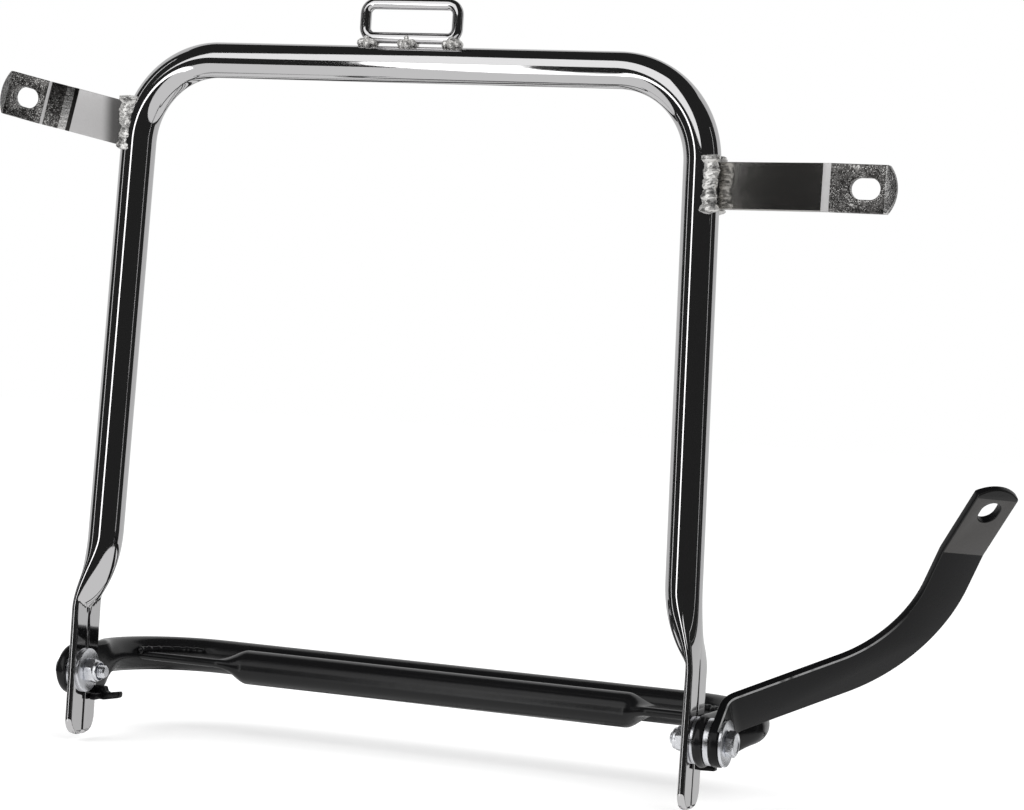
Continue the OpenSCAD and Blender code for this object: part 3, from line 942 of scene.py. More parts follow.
class Blank:
    """A flat bar: outlined, thickened, its edges rounded, then folded."""

    def __init__(self, loops: Sequence[Sequence[Vector]], thick: float, edge: float = 0.5) -> None:
        """Make the flat blank.

        Args:
            loops: The outline and the outlines of its holes, in the XZ plane.
            thick: Thickness along Y.
            edge: Radius of the rounded edges.
        """
        self.bm = bmesh.new()
        self.thick = thick
        for loop in loops:
            verts = [self.bm.verts.new(point - Vector((0, thick / 2, 0))) for point in loop]
            for number, vert in enumerate(verts):
                self.bm.edges.new((vert, verts[(number + 1) % len(verts)]))
        bmesh.ops.triangle_fill(self.bm, use_beauty=True, edges=self.bm.edges[:])
        made = bmesh.ops.extrude_face_region(self.bm, geom=self.bm.faces[:])["geom"]
        top = [g for g in made if isinstance(g, bmesh.types.BMVert)]
        bmesh.ops.translate(self.bm, vec=Vector((0, thick, 0)), verts=top)
        bmesh.ops.recalc_face_normals(self.bm, faces=self.bm.faces[:])
        bmesh.ops.dissolve_limit(self.bm, angle_limit=0.01, verts=self.bm.verts[:], edges=self.bm.edges[:])
        rims = [e for e in self.bm.edges if len(e.link_faces) == 2 and e.calc_face_angle(0.0) > 0.9]
        bmesh.ops.bevel(self.bm, geom=rims, offset=edge, offset_type="OFFSET", segments=3, profile=0.5,
                        affect="EDGES", material=-1, clamp_overlap=True)

    def cut(self, at: Vector, ahead: float) -> None:
        """Cut across the blank, so that it can bend or change there."""
        heading = math.radians(ahead)
        bmesh.ops.bisect_plane(self.bm, geom=self.bm.verts[:] + self.bm.edges[:] + self.bm.faces[:],
                               plane_co=at, plane_no=Vector((math.cos(heading), 0, math.sin(heading))))

    def crescent(self, at: Vector, ahead: float, slope: float) -> None:
        """Bevel the front of the tip between a straight chord and the arc.

        Args:
            at: A point on the chord.
            ahead: Direction of the tip.
            slope: Drop of the front for each millimetre beyond the chord.
        """
        self.cut(at, ahead)
        heading = math.radians(ahead)
        along = Vector((math.cos(heading), 0, math.sin(heading)))
        for vert in self.bm.verts:
            beyond = (vert.co - at).dot(along)
            if beyond > 0 and vert.co.y < 0:
                vert.co.y += beyond * slope

    def fold(self, folds: Sequence[Fold], steps: int = 8) -> None:
        """Fold the blank, the last fold first."""
        for fold in folds:
            heading = math.radians(fold.ahead)
            for k in range(steps + 1):
                reach = fold.length(self.thick) * k / steps
                self.cut(Vector((fold.at[0] + reach * math.cos(heading), 0, fold.at[1] + reach * math.sin(heading))),
                         fold.ahead)
        for fold in reversed(folds):
            for vert in self.bm.verts:
                vert.co = fold.move(vert.co, self.thick)

    def place(self, matrix: Matrix) -> None:
        """Move the finished bar to its place."""
        bmesh.ops.transform(self.bm, matrix=matrix, verts=self.bm.verts[:])


def about(angle: float, axis: str) -> Matrix:
    """Turn by degrees about an axis."""
    return Matrix.Rotation(math.radians(angle), 4, axis)


def shift(x: float, y: float, z: float) -> Matrix:
    """Move by millimetres."""
    return Matrix.Translation(Vector((x, y, z)))


@dataclass(frozen=True)
class Bracket:
    """A flat bracket on a leg: its folds, slotted tip and weld beads.

    Attributes:
        name: Name of the piece.
        node: CAD node that it replaces.
        drop: Height of its root below the rail.
        rise: Slope along the bar in degrees.
        yaw: Heading of its root in degrees.
        steps: Straight length, fold angle and inner radius of each step.
        tip: Length of the tip.
        slot_at: Slot centre on the tip.
        rough_from: Place along the blank where the bar turns rough.
        bands: Start, end and look of bands across the bar; the satin bands are painted highlights at the folds and the
            dark band is painted shade at a fold.
        left: True on the left leg.
    """

    name: str
    node: str
    drop: float
    rise: float
    yaw: float
    steps: tuple
    tip: float
    slot_at: float
    rough_from: float
    bands: tuple
    left: bool

    def build(self, dresser: Dresser) -> None:
        """Make the bar and its welds as one piece."""
        thick = 4.0
        folds = []
        reach = 0.0
        for length, turn, inner in self.steps:
            fold = Fold((reach + length, 0.0), 0.0, turn, inner)
            folds.append(fold)
            reach += length + fold.length(thick)
        end = reach + self.tip
        slot = slot_loop(Vector((reach + self.slot_at, 0, 0)), 0.0, 9.0, 13.0)
        blank = Blank([bar_loop(-3.0, end, 10.0, 16.0), slot], thick, 0.45)
        for x in {self.rough_from, *(edge for band in self.bands for edge in band[:2])}:
            blank.cut(Vector((x, 0, 0)), 0.0)
        blank.crescent(Vector((end - 4.4, 0, 0)), 0.0, 0.32)
        for face in blank.bm.faces:
            x = face.calc_center_median().x
            rough = 3 if x > end - 4.4 and face.normal.y < 0 else 1
            face.material_index = rough if x > self.rough_from else 0
            # Bands at the folds: satin bands are painted highlights, the dark band is painted shade.
            for low, high, look in self.bands:
                if low < x < high:
                    face.material_index = look
        blank.fold(folds)
        self._weld(blank.bm)
        root_x = FOOT_HALF - (HOOP_H - self.drop) * math.tan(math.radians(1.37)) + TUBE_R
        blank.place(shift(root_x, 0, -self.drop) @ about(-self.rise, "Y") @ about(self.yaw, "Z"))
        if self.left:
            flip_x(blank.bm)
        # The left bar's plain look carries a painted shade towards the weld.
        plain = "bar_satin_painted_shade" if self.left else "bar_smooth"
        looks = (plain, "bar_rough", "weld", "bar_end", "bar_satin_fold_highlight", "bar_dark_fold_shade")
        dresser.finish(self.name, blank.bm, looks, Body.FRAME, Slot.BARE_BAR, (self.node,))

    def _weld(self, bm: bmesh.types.BMesh) -> None:
        """Add the lumpy beads on both sides of the root."""
        front = (-3.2, -6.5) if self.left else (-1.7, -5.6)
        for side, (across, out) in ((-1, front), (1, (-4.5, 3.7))):
            loft = Loft(32)
            rows = 132
            for k in range(rows + 1):
                share = k / rows
                blobs = math.exp(-((share - 0.07) / 0.07) ** 2) + math.exp(-((share - 0.93) / 0.07) ** 2)
                size = 3.0 + 0.24 * abs(math.sin(k * HALF_TURN / 11)) + 0.7 * blobs + 0.2 * math.sin(k * 0.23 + side)
                size *= ease(min(k, rows - k) / 9 + 0.12)
                at = Vector((across + 0.4 * math.sin(k * 0.09), out, mix(-13.0, 13.0, share)))
                loft.add(self._bead_ring(at, size))
            loft.cap_both()
            roughen(loft.bm, loft.bm.verts, 0.3, 2.4)
            tilt = about(self.rise, "Y")
            bmesh.ops.transform(loft.bm, matrix=tilt, verts=loft.bm.verts[:])
            for face in loft.bm.faces:
                face.material_index = 2
            join(bm, loft.bm)

    @staticmethod
    def _bead_ring(at: Vector, size: float) -> Ring:
        """A round ring across the bead."""

        def ring(angle: float) -> Vector:
            """Point of the bead."""
            a, b = circle_point(size, angle)
            return at + Vector((a * 1.3, b, 0.25 * abs(a)))

        return ring


def join(bm: bmesh.types.BMesh, other: bmesh.types.BMesh) -> None:
    """Add another mesh's copy to a mesh, and free the other."""
    mesh = bpy.data.meshes.new("joined")
    other.to_mesh(mesh)
    other.free()
    bm.from_mesh(mesh)
    bpy.data.meshes.remove(mesh)


@dataclass(frozen=True)
class Strut:
    """The black strut: folded out above the bolt, bent on edge, with a slotted tip."""

    width: float = 20.0
    lift: float = 41.0
    fold: float = 54.0
    run: float = 48.0
    bend_r: float = 58.0
    bend: float = 60.0
    upper: float = 17.0
    lower: float = 12.4
    fold_r: float = 6.0
    end_r: float = 10.4

    def build(self, dresser: Dresser) -> None:
        """Make the piece."""
        low = Fold((0.0, 0.0), 180.0, -self.fold, self.fold_r)
        at = self._upper_point(self.upper, 0.0)
        high = Fold((at.x, at.z), self.bend, -9.0, 10.0)
        tip_end = self.upper + high.length(STRUT_T) + 35.6
        slot_at = self.upper + high.length(STRUT_T) + 23.5
        slot = slot_loop(self._upper_point(slot_at, 0.0), self.bend, 9.0, 11.0)
        blank = Blank([self._outline(low, tip_end), slot], STRUT_T, 0.55)
        blank.crescent(self._upper_point(tip_end - 4.4, 0.0), self.bend, 0.30)
        turn_at = self._upper_point(self.upper + high.length(STRUT_T) / 2, 0.0)
        blank.cut(turn_at, self.bend)
        ahead = self._upper_point(1.0, 0.0) - self._upper_point(0.0, 0.0)
        crescent_at = tip_end - 4.4 - self.upper - high.length(STRUT_T) / 2
        blank.bm.normal_update()
        for face in blank.bm.faces:
            beyond = (face.calc_center_median() - turn_at).dot(ahead)
            tip = abs(face.normal.y) > 0.9 and 0 < beyond < crescent_at
            # The upper front edge takes the painted highlight.
            edge = face.normal.y < -0.2 and face.normal.z > 0.2 and face.calc_center_median().x > 4.0
            face.material_index = 1 if tip else 2 if edge else 0
        blank.fold([low, high])
        base = shift(STRUT_IN + STRUT_T / 2, 0, -HOOP_H) @ about(self.lift, "X") @ about(90, "Z")
        mid_r = self.fold_r + STRUT_T / 2
        turn = math.radians(self.fold)
        root = shift(self.lower + mid_r * math.sin(turn), -mid_r * (1 - math.cos(turn)), 0) @ about(-self.fold, "Z")
        blank.place(base @ root)
        dresser.finish("strut_bar", blank.bm, ("black_satin", "black_tip", "painted_edge_highlight"), Body.STRUT,
                       Slot.BLACK_PAINT, ("strut",), 30.0)

    def _upper_point(self, along: float, across: float) -> Vector:
        """A point of the blank beyond the edgewise bend."""
        turn = math.radians(self.bend)
        ahead = Vector((math.cos(turn), 0, math.sin(turn)))
        side = Vector((-math.sin(turn), 0, math.cos(turn)))
        end = Vector((self.run + self.bend_r * math.sin(turn), 0, self.bend_r * (1 - math.cos(turn))))
        return end + ahead * along + side * across

    def _outline(self, low: Fold, tip_end: float) -> list[Vector]:
        """Outline of the whole blank, from the lug's round end round the tip and back."""
        half = self.width / 2
        lug = -(low.length(STRUT_T) + self.lower)
        reach = math.asin(half / self.end_r)
        points = [Vector((lug - self.end_r * math.cos(a), 0, self.end_r * math.sin(a)))
                  for a in (mix(reach, -reach, k / 24) for k in range(25))]
        points += [self._bend_point(k / 24, half) for k in range(25)]
        arc_r = 0.8 * self.width
        spread = math.asin(half / arc_r)
        points += [self._upper_point(tip_end - arc_r + arc_r * math.cos(a), -arc_r * math.sin(a))
                   for a in (mix(spread, -spread, k / 20) for k in range(21))]
        points += [self._bend_point(1 - k / 24, -half) for k in range(25)]
        return points

    def _bend_point(self, share: float, out: float) -> Vector:
        """A point along the edgewise bend, out from its middle line."""
        turn = math.radians(self.bend) * share
        arm = self.bend_r + out
        return Vector((self.run + arm * math.sin(turn), 0, self.bend_r - arm * math.cos(turn)))


@dataclass(frozen=True)
class ArmStop:
    """A stop under an arm that bears on the back edge of the hoop's foot."""

    name: str
    node: str
    toe: float
    left: bool

    def build(self, dresser: Dresser) -> None:
        """Make the piece."""
        half_w = FLAT_W / 2
        top = 0.3 - half_w
        low = top - 3
        web = FOOT_IN - 3.5
        toe = FOOT_IN - self.toe
        flat = [(ARM_IN, 3 - half_w), (ARM_IN, -half_w), (ARM_OUT, -half_w), (ARM_OUT, low), (web + 4, low - 0.4),
                (web, low - 0.5), (toe + 1, low + 0.85), (toe, low + 1.5), (toe, top + 0.5), (toe + 0.7, top + 0.9),
                (web - 2, top), (web - 0.8, top + 0.6), (web, top + 2.5), (web + 0.5, 3 - half_w)]
        blank = Blank([[Vector((x, 0, z)) for x, z in flat]], 4.0, 0.6)
        blank.place(shift(0, half_w + 2.3, 0))
        lip_out = FOOT_IN - 0.4
        lip = bmesh.new()
        bmesh.ops.create_cube(lip, size=1.0)
        bmesh.ops.scale(lip, vec=Vector((3, half_w - 3.5, 3)), verts=lip.verts[:])
        bmesh.ops.translate(lip, vec=Vector((lip_out - 1.5, 4 + (half_w - 3.5) / 2, low + 1.5)), verts=lip.verts[:])
        bmesh.ops.bevel(lip, geom=lip.edges[:], offset=0.6, offset_type="OFFSET", segments=3, profile=0.5,
                        affect="EDGES", material=-1, clamp_overlap=True)
        join(blank.bm, lip)
        blank.place(shift(0, 0, -HOOP_H))
        if self.left:
            flip_x(blank.bm)
        dresser.finish(self.name, blank.bm, ("black_satin",), Body.SUPPORT, Slot.BLACK_PAINT, (self.node,))


# --------------------------------------------------------------------------- strap loop


@dataclass(frozen=True)
class StrapLoop:
    """A loop of rod welded on the rail in three places."""

    half_w: float = 17.5
    half_h: float = 3.0
    corner: float = 4.5
    rod_r: float = 2.5
    centre: tuple = (-3.0, 0.0, 19.2)
    welds: tuple = (-20.0, -0.8, 20.3)

    def build(self, dresser: Dresser) -> None:
        """Make the piece."""
        loft = Loft(40)
        path = self._path()
        for at, out in [*path, path[0]]:
            loft.add(self._rod_ring(at, out))
        bmesh.ops.remove_doubles(loft.bm, verts=loft.bm.verts[:], dist=0.001)
        for place in self.welds:
            join(loft.bm, self._weld(place))
        bmesh.ops.translate(loft.bm, vec=Vector(self.centre), verts=loft.bm.verts[:])
        dresser.finish("strap_loop_rod", loft.bm, ("chrome", "weld"), Body.FRAME, Slot.CHROME, ("strap_loop",), 60.0)

    def _path(self) -> list[tuple[Vector, Vector]]:
        """Places along the rod with their outward directions."""
        path = []
        for quarter, (sx, sz) in enumerate(((1, 1), (1, -1), (-1, -1), (-1, 1))):
            middle = Vector((sx * self.half_w, 0, sz * self.half_h))
            for k in range(13):
                lean = QUARTER_TURN * (quarter + k / 12)
                out = Vector((math.sin(lean), 0, math.cos(lean)))
                path.append((middle + out * self.corner, out))
            ahead = Vector((math.cos(lean), 0, -math.sin(lean)))
            run = 2 * (self.half_h if quarter % 2 == 0 else self.half_w)
            path += [(middle + out * self.corner + ahead * run * k / 5, out) for k in range(1, 5)]
        return path

    def _rod_ring(self, at: Vector, out: Vector) -> Ring:
        """A round ring of the rod."""

        def ring(angle: float) -> Vector:
            """Point of the rod."""
            a, b = circle_point(self.rod_r, angle)
            return at + out * a + Vector((0, b, 0))

        return ring

    def _weld(self, place: float) -> bmesh.types.BMesh:
        """One weld: a few merged lumps, uneven and shiny."""
        whole = bmesh.new()
        lumps = ((0.0, 0.0, 0.0, 2.9), (-2.6, -1.2, -0.3, 2.1), (2.5, -1.0, 0.1, 2.0), (0.3, -2.2, -1.2, 1.9),
                 (-2.2, 1.4, -0.4, 2.0), (2.3, 1.5, -0.3, 2.0), (0.0, -1.5, 1.6, 1.7))
        for dx, dy, dz, size in lumps:
            lump = bmesh.new()
            bmesh.ops.create_icosphere(lump, subdivisions=4, radius=size)
            bmesh.ops.translate(lump, vec=Vector((place + dx, dy, -9.6 + dz)), verts=lump.verts[:])
            roughen(lump, lump.verts, 0.35, 1.8)
            for face in lump.faces:
                face.material_index = 1
            join(whole, lump)
        return whole


# --------------------------------------------------------------------------- fasteners


def hex_r(angle: float, flats: float = 10.0, turn: float = 0.5) -> float:
    """Radius of a hexagon at an angle, across flats in millimetres."""
    sixth = HALF_TURN / 3
    return flats / 2 / math.cos((angle / sixth + turn) % 1.0 * sixth - sixth / 2)


def axle_ring(x: float, radius: Callable[[float], float] | float) -> Ring:
    """A ring round the bolt axis at x.

    Args:
        x: Distance from the middle of the row.
        radius: Radius, or a function of the angle.

    Returns:
        The ring.
    """

    def ring(angle: float) -> Vector:
        """Point at the radius."""
        size = radius(angle) if callable(radius) else radius
        return Vector((x, size * math.cos(angle), size * math.sin(angle) - HOOP_H))

    return ring


@dataclass(frozen=True)
class Bolt:
    """A hexagon bolt with a threaded end."""

    name: str
    node: str
    head_x: float
    length: float
    left: bool

    def build(self, dresser: Dresser) -> None:
        """Make the piece."""
        loft = Loft(72)
        tip = self.head_x - self.length
        loft.add(axle_ring(tip, 1.9))
        rows = 132
        for k in range(rows + 1):
            x = tip + 11.0 * k / rows
            loft.add(axle_ring(x, self._thread(x, x - tip)))
        loft.add(axle_ring(tip + 11.3, 3.0))
        loft.add(axle_ring(self.head_x - 0.01, 3.0))
        for x, limit in ((0.0, 4.7), (0.3, 5.3), (0.55, 6.0), (2.9, 6.0), (3.3, 5.55), (3.65, 5.0), (3.85, 4.75)):
            loft.add(axle_ring(self.head_x + x, self._head(limit)))
        for x, size in ((3.95, 4.5), (3.95, 3.9), (3.6, 3.5), (3.55, 1.5)):
            loft.add(axle_ring(self.head_x + x, size))
        loft.cap_both()
        if self.left:
            flip_x(loft.bm)
        dresser.finish(self.name, loft.bm, ("zinc",), Body.FRAME, Slot.ZINC, (self.node,), 25.0)

    @staticmethod
    def _thread(x: float, in_from_tip: float) -> Callable[[float], float]:
        """Radius of the thread's helix at x, ground down at the tip."""

        def radius(angle: float) -> float:
            """Radius at an angle."""
            phase = (x + angle / (2 * HALF_TURN)) % 1.0
            wave = abs(phase * 2 - 1)
            full = 3.0 - 0.52 * ease(wave * 1.3 - 0.1)
            return min(full, 2.15 + in_from_tip * 1.1)

        return radius

    @staticmethod
    def _head(limit: float) -> Callable[[float], float]:
        """Radius of the head, a hexagon inside a chamfer's circle."""
        return lambda angle: min(hex_r(angle), limit)


@dataclass(frozen=True)
class LockNut:
    """A lock nut with a rounded collar and its plastic ring."""

    name: str
    node: str
    ring_name: str
    ring_node: str
    seat_x: float
    left: bool

    def build(self, dresser: Dresser) -> None:
        """Make the nut and its ring."""
        loft = Loft(72)
        steps = ((0.0, 4.75), (0.25, 5.25), (0.5, 6.0), (3.6, 6.0), (3.95, 5.5), (4.25, 5.0), (4.4, 4.75))
        rings = [axle_ring(self.seat_x - h, self._hexagon(limit)) for h, limit in steps]
        profile = ((4.44, 4.62), (4.6, 4.6), (5.3, 4.6), (5.65, 4.5), (5.88, 4.3), (5.97, 4.08), (5.8, 4.0),
                   (4.75, 4.0), (4.7, 3.03), (0.0, 3.03))
        rings += [axle_ring(self.seat_x - h, r) for h, r in profile]
        for ring in [*rings, rings[0]]:
            loft.add(ring)
        bmesh.ops.remove_doubles(loft.bm, verts=loft.bm.verts[:], dist=0.001)
        if self.left:
            flip_x(loft.bm)
        dresser.finish(self.name, loft.bm, ("zinc",), Body.FRAME, Slot.ZINC, (self.node,), 25.0)
        self._ring(dresser)

    def _ring(self, dresser: Dresser) -> None:
        """The plastic ring in the collar."""
        loft = Loft(48)
        profile = ((4.75, 3.04), (4.75, 3.97), (5.45, 3.97), (5.68, 3.8), (5.75, 3.5), (5.68, 3.2), (5.5, 3.04))
        rings = [axle_ring(self.seat_x - h, r) for h, r in profile]
        for ring in [*rings, rings[0]]:
            loft.add(ring)
        bmesh.ops.remove_doubles(loft.bm, verts=loft.bm.verts[:], dist=0.001)
        if self.left:
            flip_x(loft.bm)
        dresser.finish(self.ring_name, loft.bm, ("ring_plastic",), Body.FRAME, Slot.NYLON, (self.ring_node,), 40.0)

    @staticmethod
    def _hexagon(limit: float) -> Callable[[float], float]:
        """Radius of the hexagon inside a chamfer's circle."""
        return lambda angle: min(hex_r(angle, turn=0.28), limit)


@dataclass(frozen=True)
class Washer:
    """A plain stamped washer with soft edges."""

    name: str
    node: str
    at_x: float
    thick: float
    left: bool

    def build(self, dresser: Dresser) -> None:
        """Make the piece."""
        loft = Loft(96)
        t = self.thick
        profile = ((0.15, 3.2), (0.0, 3.35), (0.0, 9.5), (0.12, 9.8), (0.4, 10.0), (t - 0.25, 10.0), (t - 0.08, 9.92),
                   (t, 9.75), (t, 3.35), (t - 0.15, 3.2))
        rings = [axle_ring(self.at_x + x, r) for x, r in profile]
        for ring in [*rings, rings[0]]:
            loft.add(ring)
        bmesh.ops.remove_doubles(loft.bm, verts=loft.bm.verts[:], dist=0.001)
        if self.left:
            flip_x(loft.bm)
        dresser.finish(self.name, loft.bm, ("zinc",), Body.FRAME, Slot.ZINC, (self.node,), 28.0)


# --------------------------------------------------------------------------- camera and studio


@dataclass
class PhotoCamera:
    """The camera that took the photograph, fitted to the part's sizes."""

    position_mm: tuple = (504.92, -1144.38, 156.57 - HOOP_H)
    right: tuple = (0.92857, 0.36547, 0.06483)
    down: tuple = (0.06667, 0.00761, -0.99775)
    focal_px: float = 2843.3
    frame_px: float = 1024.0
    sensor_mm: float = 36.0

    def build(self) -> bpy.types.Object:
        """Make the camera and set it as the scene's.

        Returns:
            The camera object.
        """
        data = bpy.data.cameras.new("photo_camera")
        data.sensor_width = self.sensor_mm
        data.lens = self.focal_px / self.frame_px * self.sensor_mm
        data.clip_start, data.clip_end = 0.05, 50.0
        camera = bpy.data.objects.new("photo_camera", data)
        right = Vector(self.right).normalized()
        up = -Vector(self.down).normalized()
        up = (up - right * up.dot(right)).normalized()
        back = right.cross(up)
        turn = Matrix((right, up, back)).transposed().to_4x4()
        camera.matrix_world = Matrix.Translation(Vector(self.position_mm) * MM) @ turn
        bpy.context.scene.collection.objects.link(camera)
        bpy.context.scene.camera = camera
        return camera


def stage_only(name: str, bm: bmesh.types.BMesh, material: bpy.types.Material) -> None:
    """Add a card that only gloss sees: it casts no shadow and no light.

    Args:
        name: Name of the card.
        bm: Its mesh in metres; it is freed.
        material: Its material.
    """
    mesh = bpy.data.meshes.new(name)
    bm.to_mesh(mesh)
    bm.free()
    mesh.materials.append(material)
    card = bpy.data.objects.new(name, mesh)
    bpy.context.scene.collection.objects.link(card)
    card.visible_camera = False
    card.visible_diffuse = False
    card.visible_shadow = False


def card_material(name: str, tone: float, glow: float) -> bpy.types.Material:
    """Matt grey of a tone, or a plain glow."""
    material, g = new_material(name)
    g.surface(Base_Color=(tone, tone, tone, 1.0), Roughness=0.9, Specular_IOR_Level=0.0,
              Emission_Color=(1, 1, 1, 1), Emission_Strength=glow)
    return material


@dataclass(frozen=True)
class Card:
    """An upright curved card round a centre.

    Attributes:
        name: Name of the card.
        start: First azimuth in degrees, from -Y towards +X.
        end: Last azimuth.
        low: Lower edge in metres.
        high: Upper edge in metres.
        radius: Distance from the part in metres.
        glow: Strength of its light, near 0 for a dark card.
        inner: Distance of its upper edge, where that differs.
    """

    name: str
    start: float
    end: float
    low: float
    high: float
    radius: float = 2.4
    glow: float = 0.02
    inner: float | None = None

    def build(self) -> None:
        """Make the card."""
        bm = bmesh.new()
        first = math.radians(self.start)
        place = Vector((math.sin(first), -math.cos(first), 0))
        edges = ((self.radius, self.low), (self.inner or self.radius, self.high))
        ends = [bm.verts.new(place * reach + Vector((0, 0, z))) for reach, z in edges]
        edge = bm.edges.new(ends)
        bmesh.ops.spin(bm, geom=[*ends, edge], cent=Vector(), axis=Vector((0, 0, 1)),
                       angle=math.radians(self.end - self.start), steps=24)
        stage_only(self.name, bm, card_material(self.name, 0.004, self.glow))


@dataclass
class Studio:
    """White surroundings, soft lamps, a pale floor and dark cards that the chrome reflects."""

    floor_z: float = (-HOOP_H - 32.0) * MM
    gloss_z: float = -0.80
    fill: float = 0.75

    def build(self) -> None:
        """Make the world, the floor, the lamps and the cards."""
        self._world()
        self._floor()
        self._lamp("key_lamp", (-1.4, -1.2, 1.7), 1.4, 16.0)
        self._lamp("side_lamp", (1.7, -0.9, 1.2), 1.2, 10.0)
        for card in (
            Card("card_front", -96.0, 126.0, self.gloss_z, 2.5),
            Card("card_back", 126.0, 264.0, self.gloss_z, 2.5, glow=0.66),
            Card("strip_front", -26.0, -18.2, self.gloss_z, 0.12, 0.955, 2.4),
            Card("strip_side", -68.2, -65.0, self.gloss_z, 1.6, 2.2, 1.3),
            Card("strip_right", 92.0, 94.0, self.gloss_z, 1.2, 2.2, 0.8),
            Card("box_above", -37.0, 16.0, 0.30, 2.45, 2.1, 1.25),
            *(Card(f"stripe_{k}", start, end, self.gloss_z + 0.01, self.gloss_z + 0.01, 2.3, inner=0.1)
              for k, (start, end) in enumerate(((160.0, 164.0), (170.0, 171.5), (177.0, 181.0), (185.0, 187.0),
                                                (192.0, 197.0), (202.0, 203.5), (208.0, 215.0), (221.0, 224.0)))),
        ):
            card.build()
        self._disc("card_above", 2.7, 2.5, 0.02)
        self._disc("card_rim", 2.5, self.gloss_z, 0.02)
        self._disc("card_below", 1.85, self.gloss_z + 0.005, 0.85)

    def _disc(self, name: str, radius: float, height: float, glow: float) -> None:
        """A level disc for the gloss."""
        bm = bmesh.new()
        bmesh.ops.create_circle(bm, cap_ends=True, radius=radius, segments=48)
        bmesh.ops.translate(bm, vec=Vector((0, 0, height)), verts=bm.verts[:])
        stage_only(name, bm, card_material(name, 0.004, glow))

    def _seen(self, g: Graph) -> Sock:
        """1 for rays from the camera, from gloss and through glass."""
        path = g.node("ShaderNodeLightPath", {}, {}, "Is Camera Ray").value.node
        rays = [Sock(g, path.outputs[name]) for name in ("Is Camera Ray", "Is Glossy Ray", "Is Transmission Ray")]
        return (rays[0] + rays[1] + rays[2]).clamp()

    def _world(self) -> None:
        """White for the camera and the gloss, a plain fill light for the rest."""
        world = bpy.data.worlds.new("studio")
        world.use_nodes = True
        bpy.context.scene.world = world
        g = Graph(world.node_tree)
        fill = g.node("ShaderNodeBackground", {}, {"Color": (1, 1, 1, 1), "Strength": self.fill})
        white = g.node("ShaderNodeBackground", {}, {"Color": (1, 1, 1, 1), "Strength": 1.0})
        both = g.node("ShaderNodeMixShader", {}, {0: self._seen(g), 1: fill, 2: white})
        output = g.tree.nodes.new("ShaderNodeOutputWorld")
        g.tree.links.new(both.value, output.inputs["Surface"])

    def _floor(self) -> None:
        """A pale floor under the part: white to the camera, and hidden from the gloss."""
        bm = bmesh.new()
        bmesh.ops.create_circle(bm, cap_ends=True, radius=6.0, segments=64)
        bmesh.ops.translate(bm, vec=Vector((0, 0, self.floor_z)), verts=bm.verts[:])
        mesh = bpy.data.meshes.new("floor")
        bm.to_mesh(mesh)
        bm.free()
        material, g = new_material("floor_white")
        mottle = g.noise(6.0, 2.0)
        tone = g.blend(mottle, (0.80, 0.80, 0.80, 1.0), (0.82, 0.82, 0.82, 1.0))
        glow = g.blend(self._seen(g), (0, 0, 0, 1), (0.42, 0.42, 0.42, 1))
        g.surface(Base_Color=tone, Roughness=0.9, Specular_IOR_Level=0.0, Emission_Color=glow, Emission_Strength=1.0)
        mesh.materials.append(material)
        floor = bpy.data.objects.new("floor", mesh)
        bpy.context.scene.collection.objects.link(floor)
        floor.visible_glossy = False

    def _lamp(self, name: str, place: tuple, size: float, power: float) -> None:
        """A soft square lamp aimed at the part's middle."""
        data = bpy.data.lights.new(name, "AREA")
        data.shape = "SQUARE"
        data.size = size
        data.energy = power
        lamp = bpy.data.objects.new(name, data)
        lamp.location = place
        lamp.visible_glossy = False
        aim = Vector((0, 0, -0.15)) - Vector(place)
        lamp.rotation_euler = aim.to_track_quat("-Z", "Y").to_euler()
        bpy.context.scene.collection.objects.link(lamp)


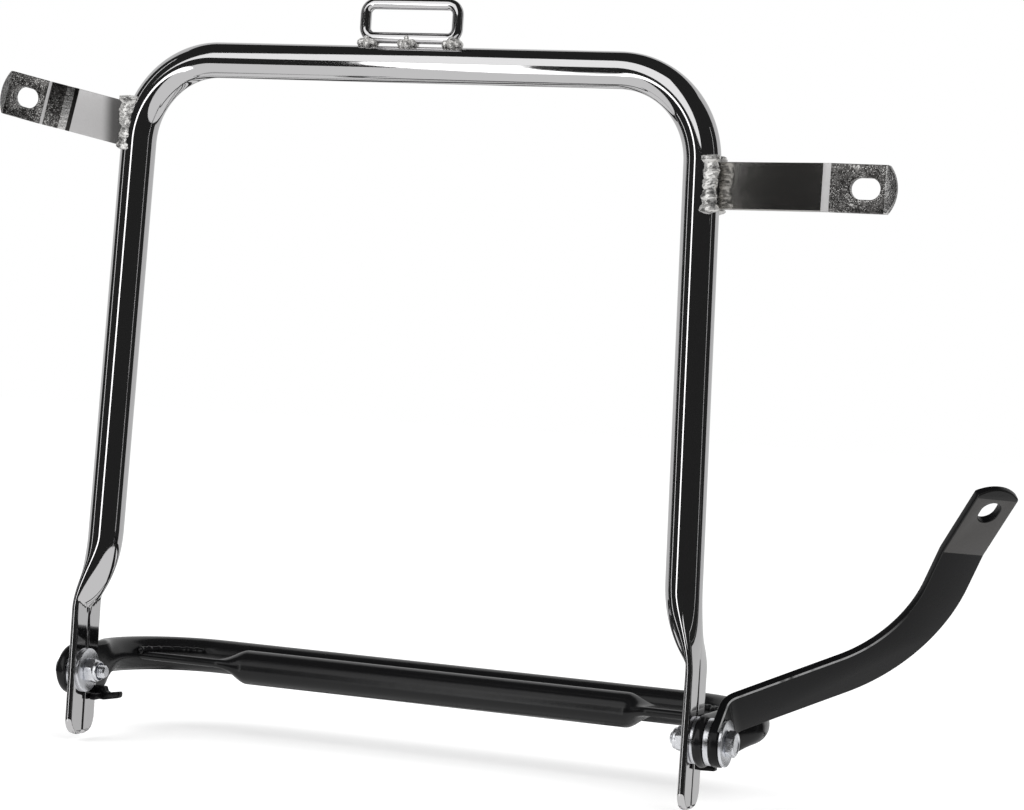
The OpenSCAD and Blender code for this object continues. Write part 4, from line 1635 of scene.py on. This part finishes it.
def main() -> None:
    """Build the part's looks, piece by piece."""
    bpy.context.scene.view_settings.view_transform = "Standard"
    PhotoCamera().build()
    Studio().build()
    dresser = Dresser({
        "chrome": Chrome().build(),
        "gap": Paint("gap_shadow", (0.006, 0.006, 0.006, 1.0), 0.7).build(),
        "black_gloss": Paint("black_gloss").build(),
        "black_satin": Paint("black_satin", (0.005, 0.005, 0.0055, 1.0), 0.22, 0.35, 0.2).build(),
        "black_tip": Paint("black_tip", (0.075, 0.072, 0.070, 1.0), 0.34, 0.6).build(),
        "painted_edge_highlight": EdgeHighlight().build(),
        "bar_smooth": RoughPlate("bar_smooth", speckle=0.10, roughness=0.11).build(),
        # Painted highlight for the bands across the folds.
        "bar_satin_fold_highlight": RoughPlate("bar_satin_fold_highlight", (0.64, 0.63, 0.63, 1.0), speckle=0.06, roughness=0.38, metal=0.35).build(),
        # Satin plate with a painted shade towards the weld.
        "bar_satin_painted_shade": RoughPlate("bar_satin_painted_shade", (0.64, 0.63, 0.63, 1.0), speckle=0.06, roughness=0.38, metal=0.35,
                                 painted_shade=(-0.1525, -0.1465)).build(),
        # Painted shade for the band across a fold.
        "bar_dark_fold_shade": RoughPlate("bar_dark_fold_shade", (0.055, 0.053, 0.051, 1.0), speckle=0.3, roughness=0.3).build(),
        "bar_rough": GrainyPlate("bar_rough").build(),
        "bar_end": GrainyPlate("bar_end", (0.75, 0.74, 0.73, 1.0), (0.95, 0.94, 0.93, 1.0)).build(),
        "weld": WeldMetal().build(),
        "zinc": Zinc().build(),
        "ring_plastic": Plastic().build(),
    })
    strut_washer_x = ARM_OUT + PLAY
    for part in (
        Hoop(),
        StrapLoop(),
        # Left bands: painted shade at the first fold, a bright grainy band, and a painted highlight line at the second
        # fold.
        Bracket("left_bracket_bar", "left_bracket", 30.0, 12.0, -17.4, ((23.2, -21.8, 4.0), (11.1, 39.2, 4.0)),
                20.7, 6.3, 24.0, ((24.0, 26.4, 5), (26.4, 30.0, 3), (37.0, 38.0, 4)), True),
        # Right band: a painted highlight across the fold.
        Bracket("right_bracket_bar", "right_bracket", 47.5, 0.0, -17.0, ((52.5, 15.4, 5.0),), 28.3, 15.4, 55.0,
                ((52.0, 55.0, 4),), False),
        BagSupport(),
        CrossTube(),
        ArmStop("left_stop_tab", "left_stop", 11.5, True),
        ArmStop("right_stop_tab", "right_stop", 6.5, False),
        Strut(),
        Bolt("left_bolt_m6", "left_bolt", ARM_OUT + PLAY, 20.0, True),
        Bolt("right_bolt_m6", "right_bolt", HEAD_X, 25.0, False),
        LockNut("left_lock_nut", "left_nut", "left_nut_ring", "left_nut_insert", FOOT_IN - WASHER_T, True),
        LockNut("right_lock_nut", "right_nut", "right_nut_ring", "right_nut_insert", FOOT_IN, False),
        Washer("left_nut_washer_disc", "left_nut_washer", FOOT_IN - WASHER_T, WASHER_T, True),
        Washer("left_pivot_washer_disc", "left_pivot_washer", FOOT_OUT, WASHER_T, True),
        Washer("right_pivot_washer_disc", "right_pivot_washer", FOOT_OUT, WASHER_T, False),
        Washer("strut_washer_disc", "strut_washer", strut_washer_x, STRUT_WASHER_T, False),
        Washer("right_head_washer_disc", "right_head_washer", STRUT_OUT + PLAY, WASHER_T, False),
    ):
        part.build(dresser)
    LOG.info("built every piece")


if __name__ == "__main__":
    main()
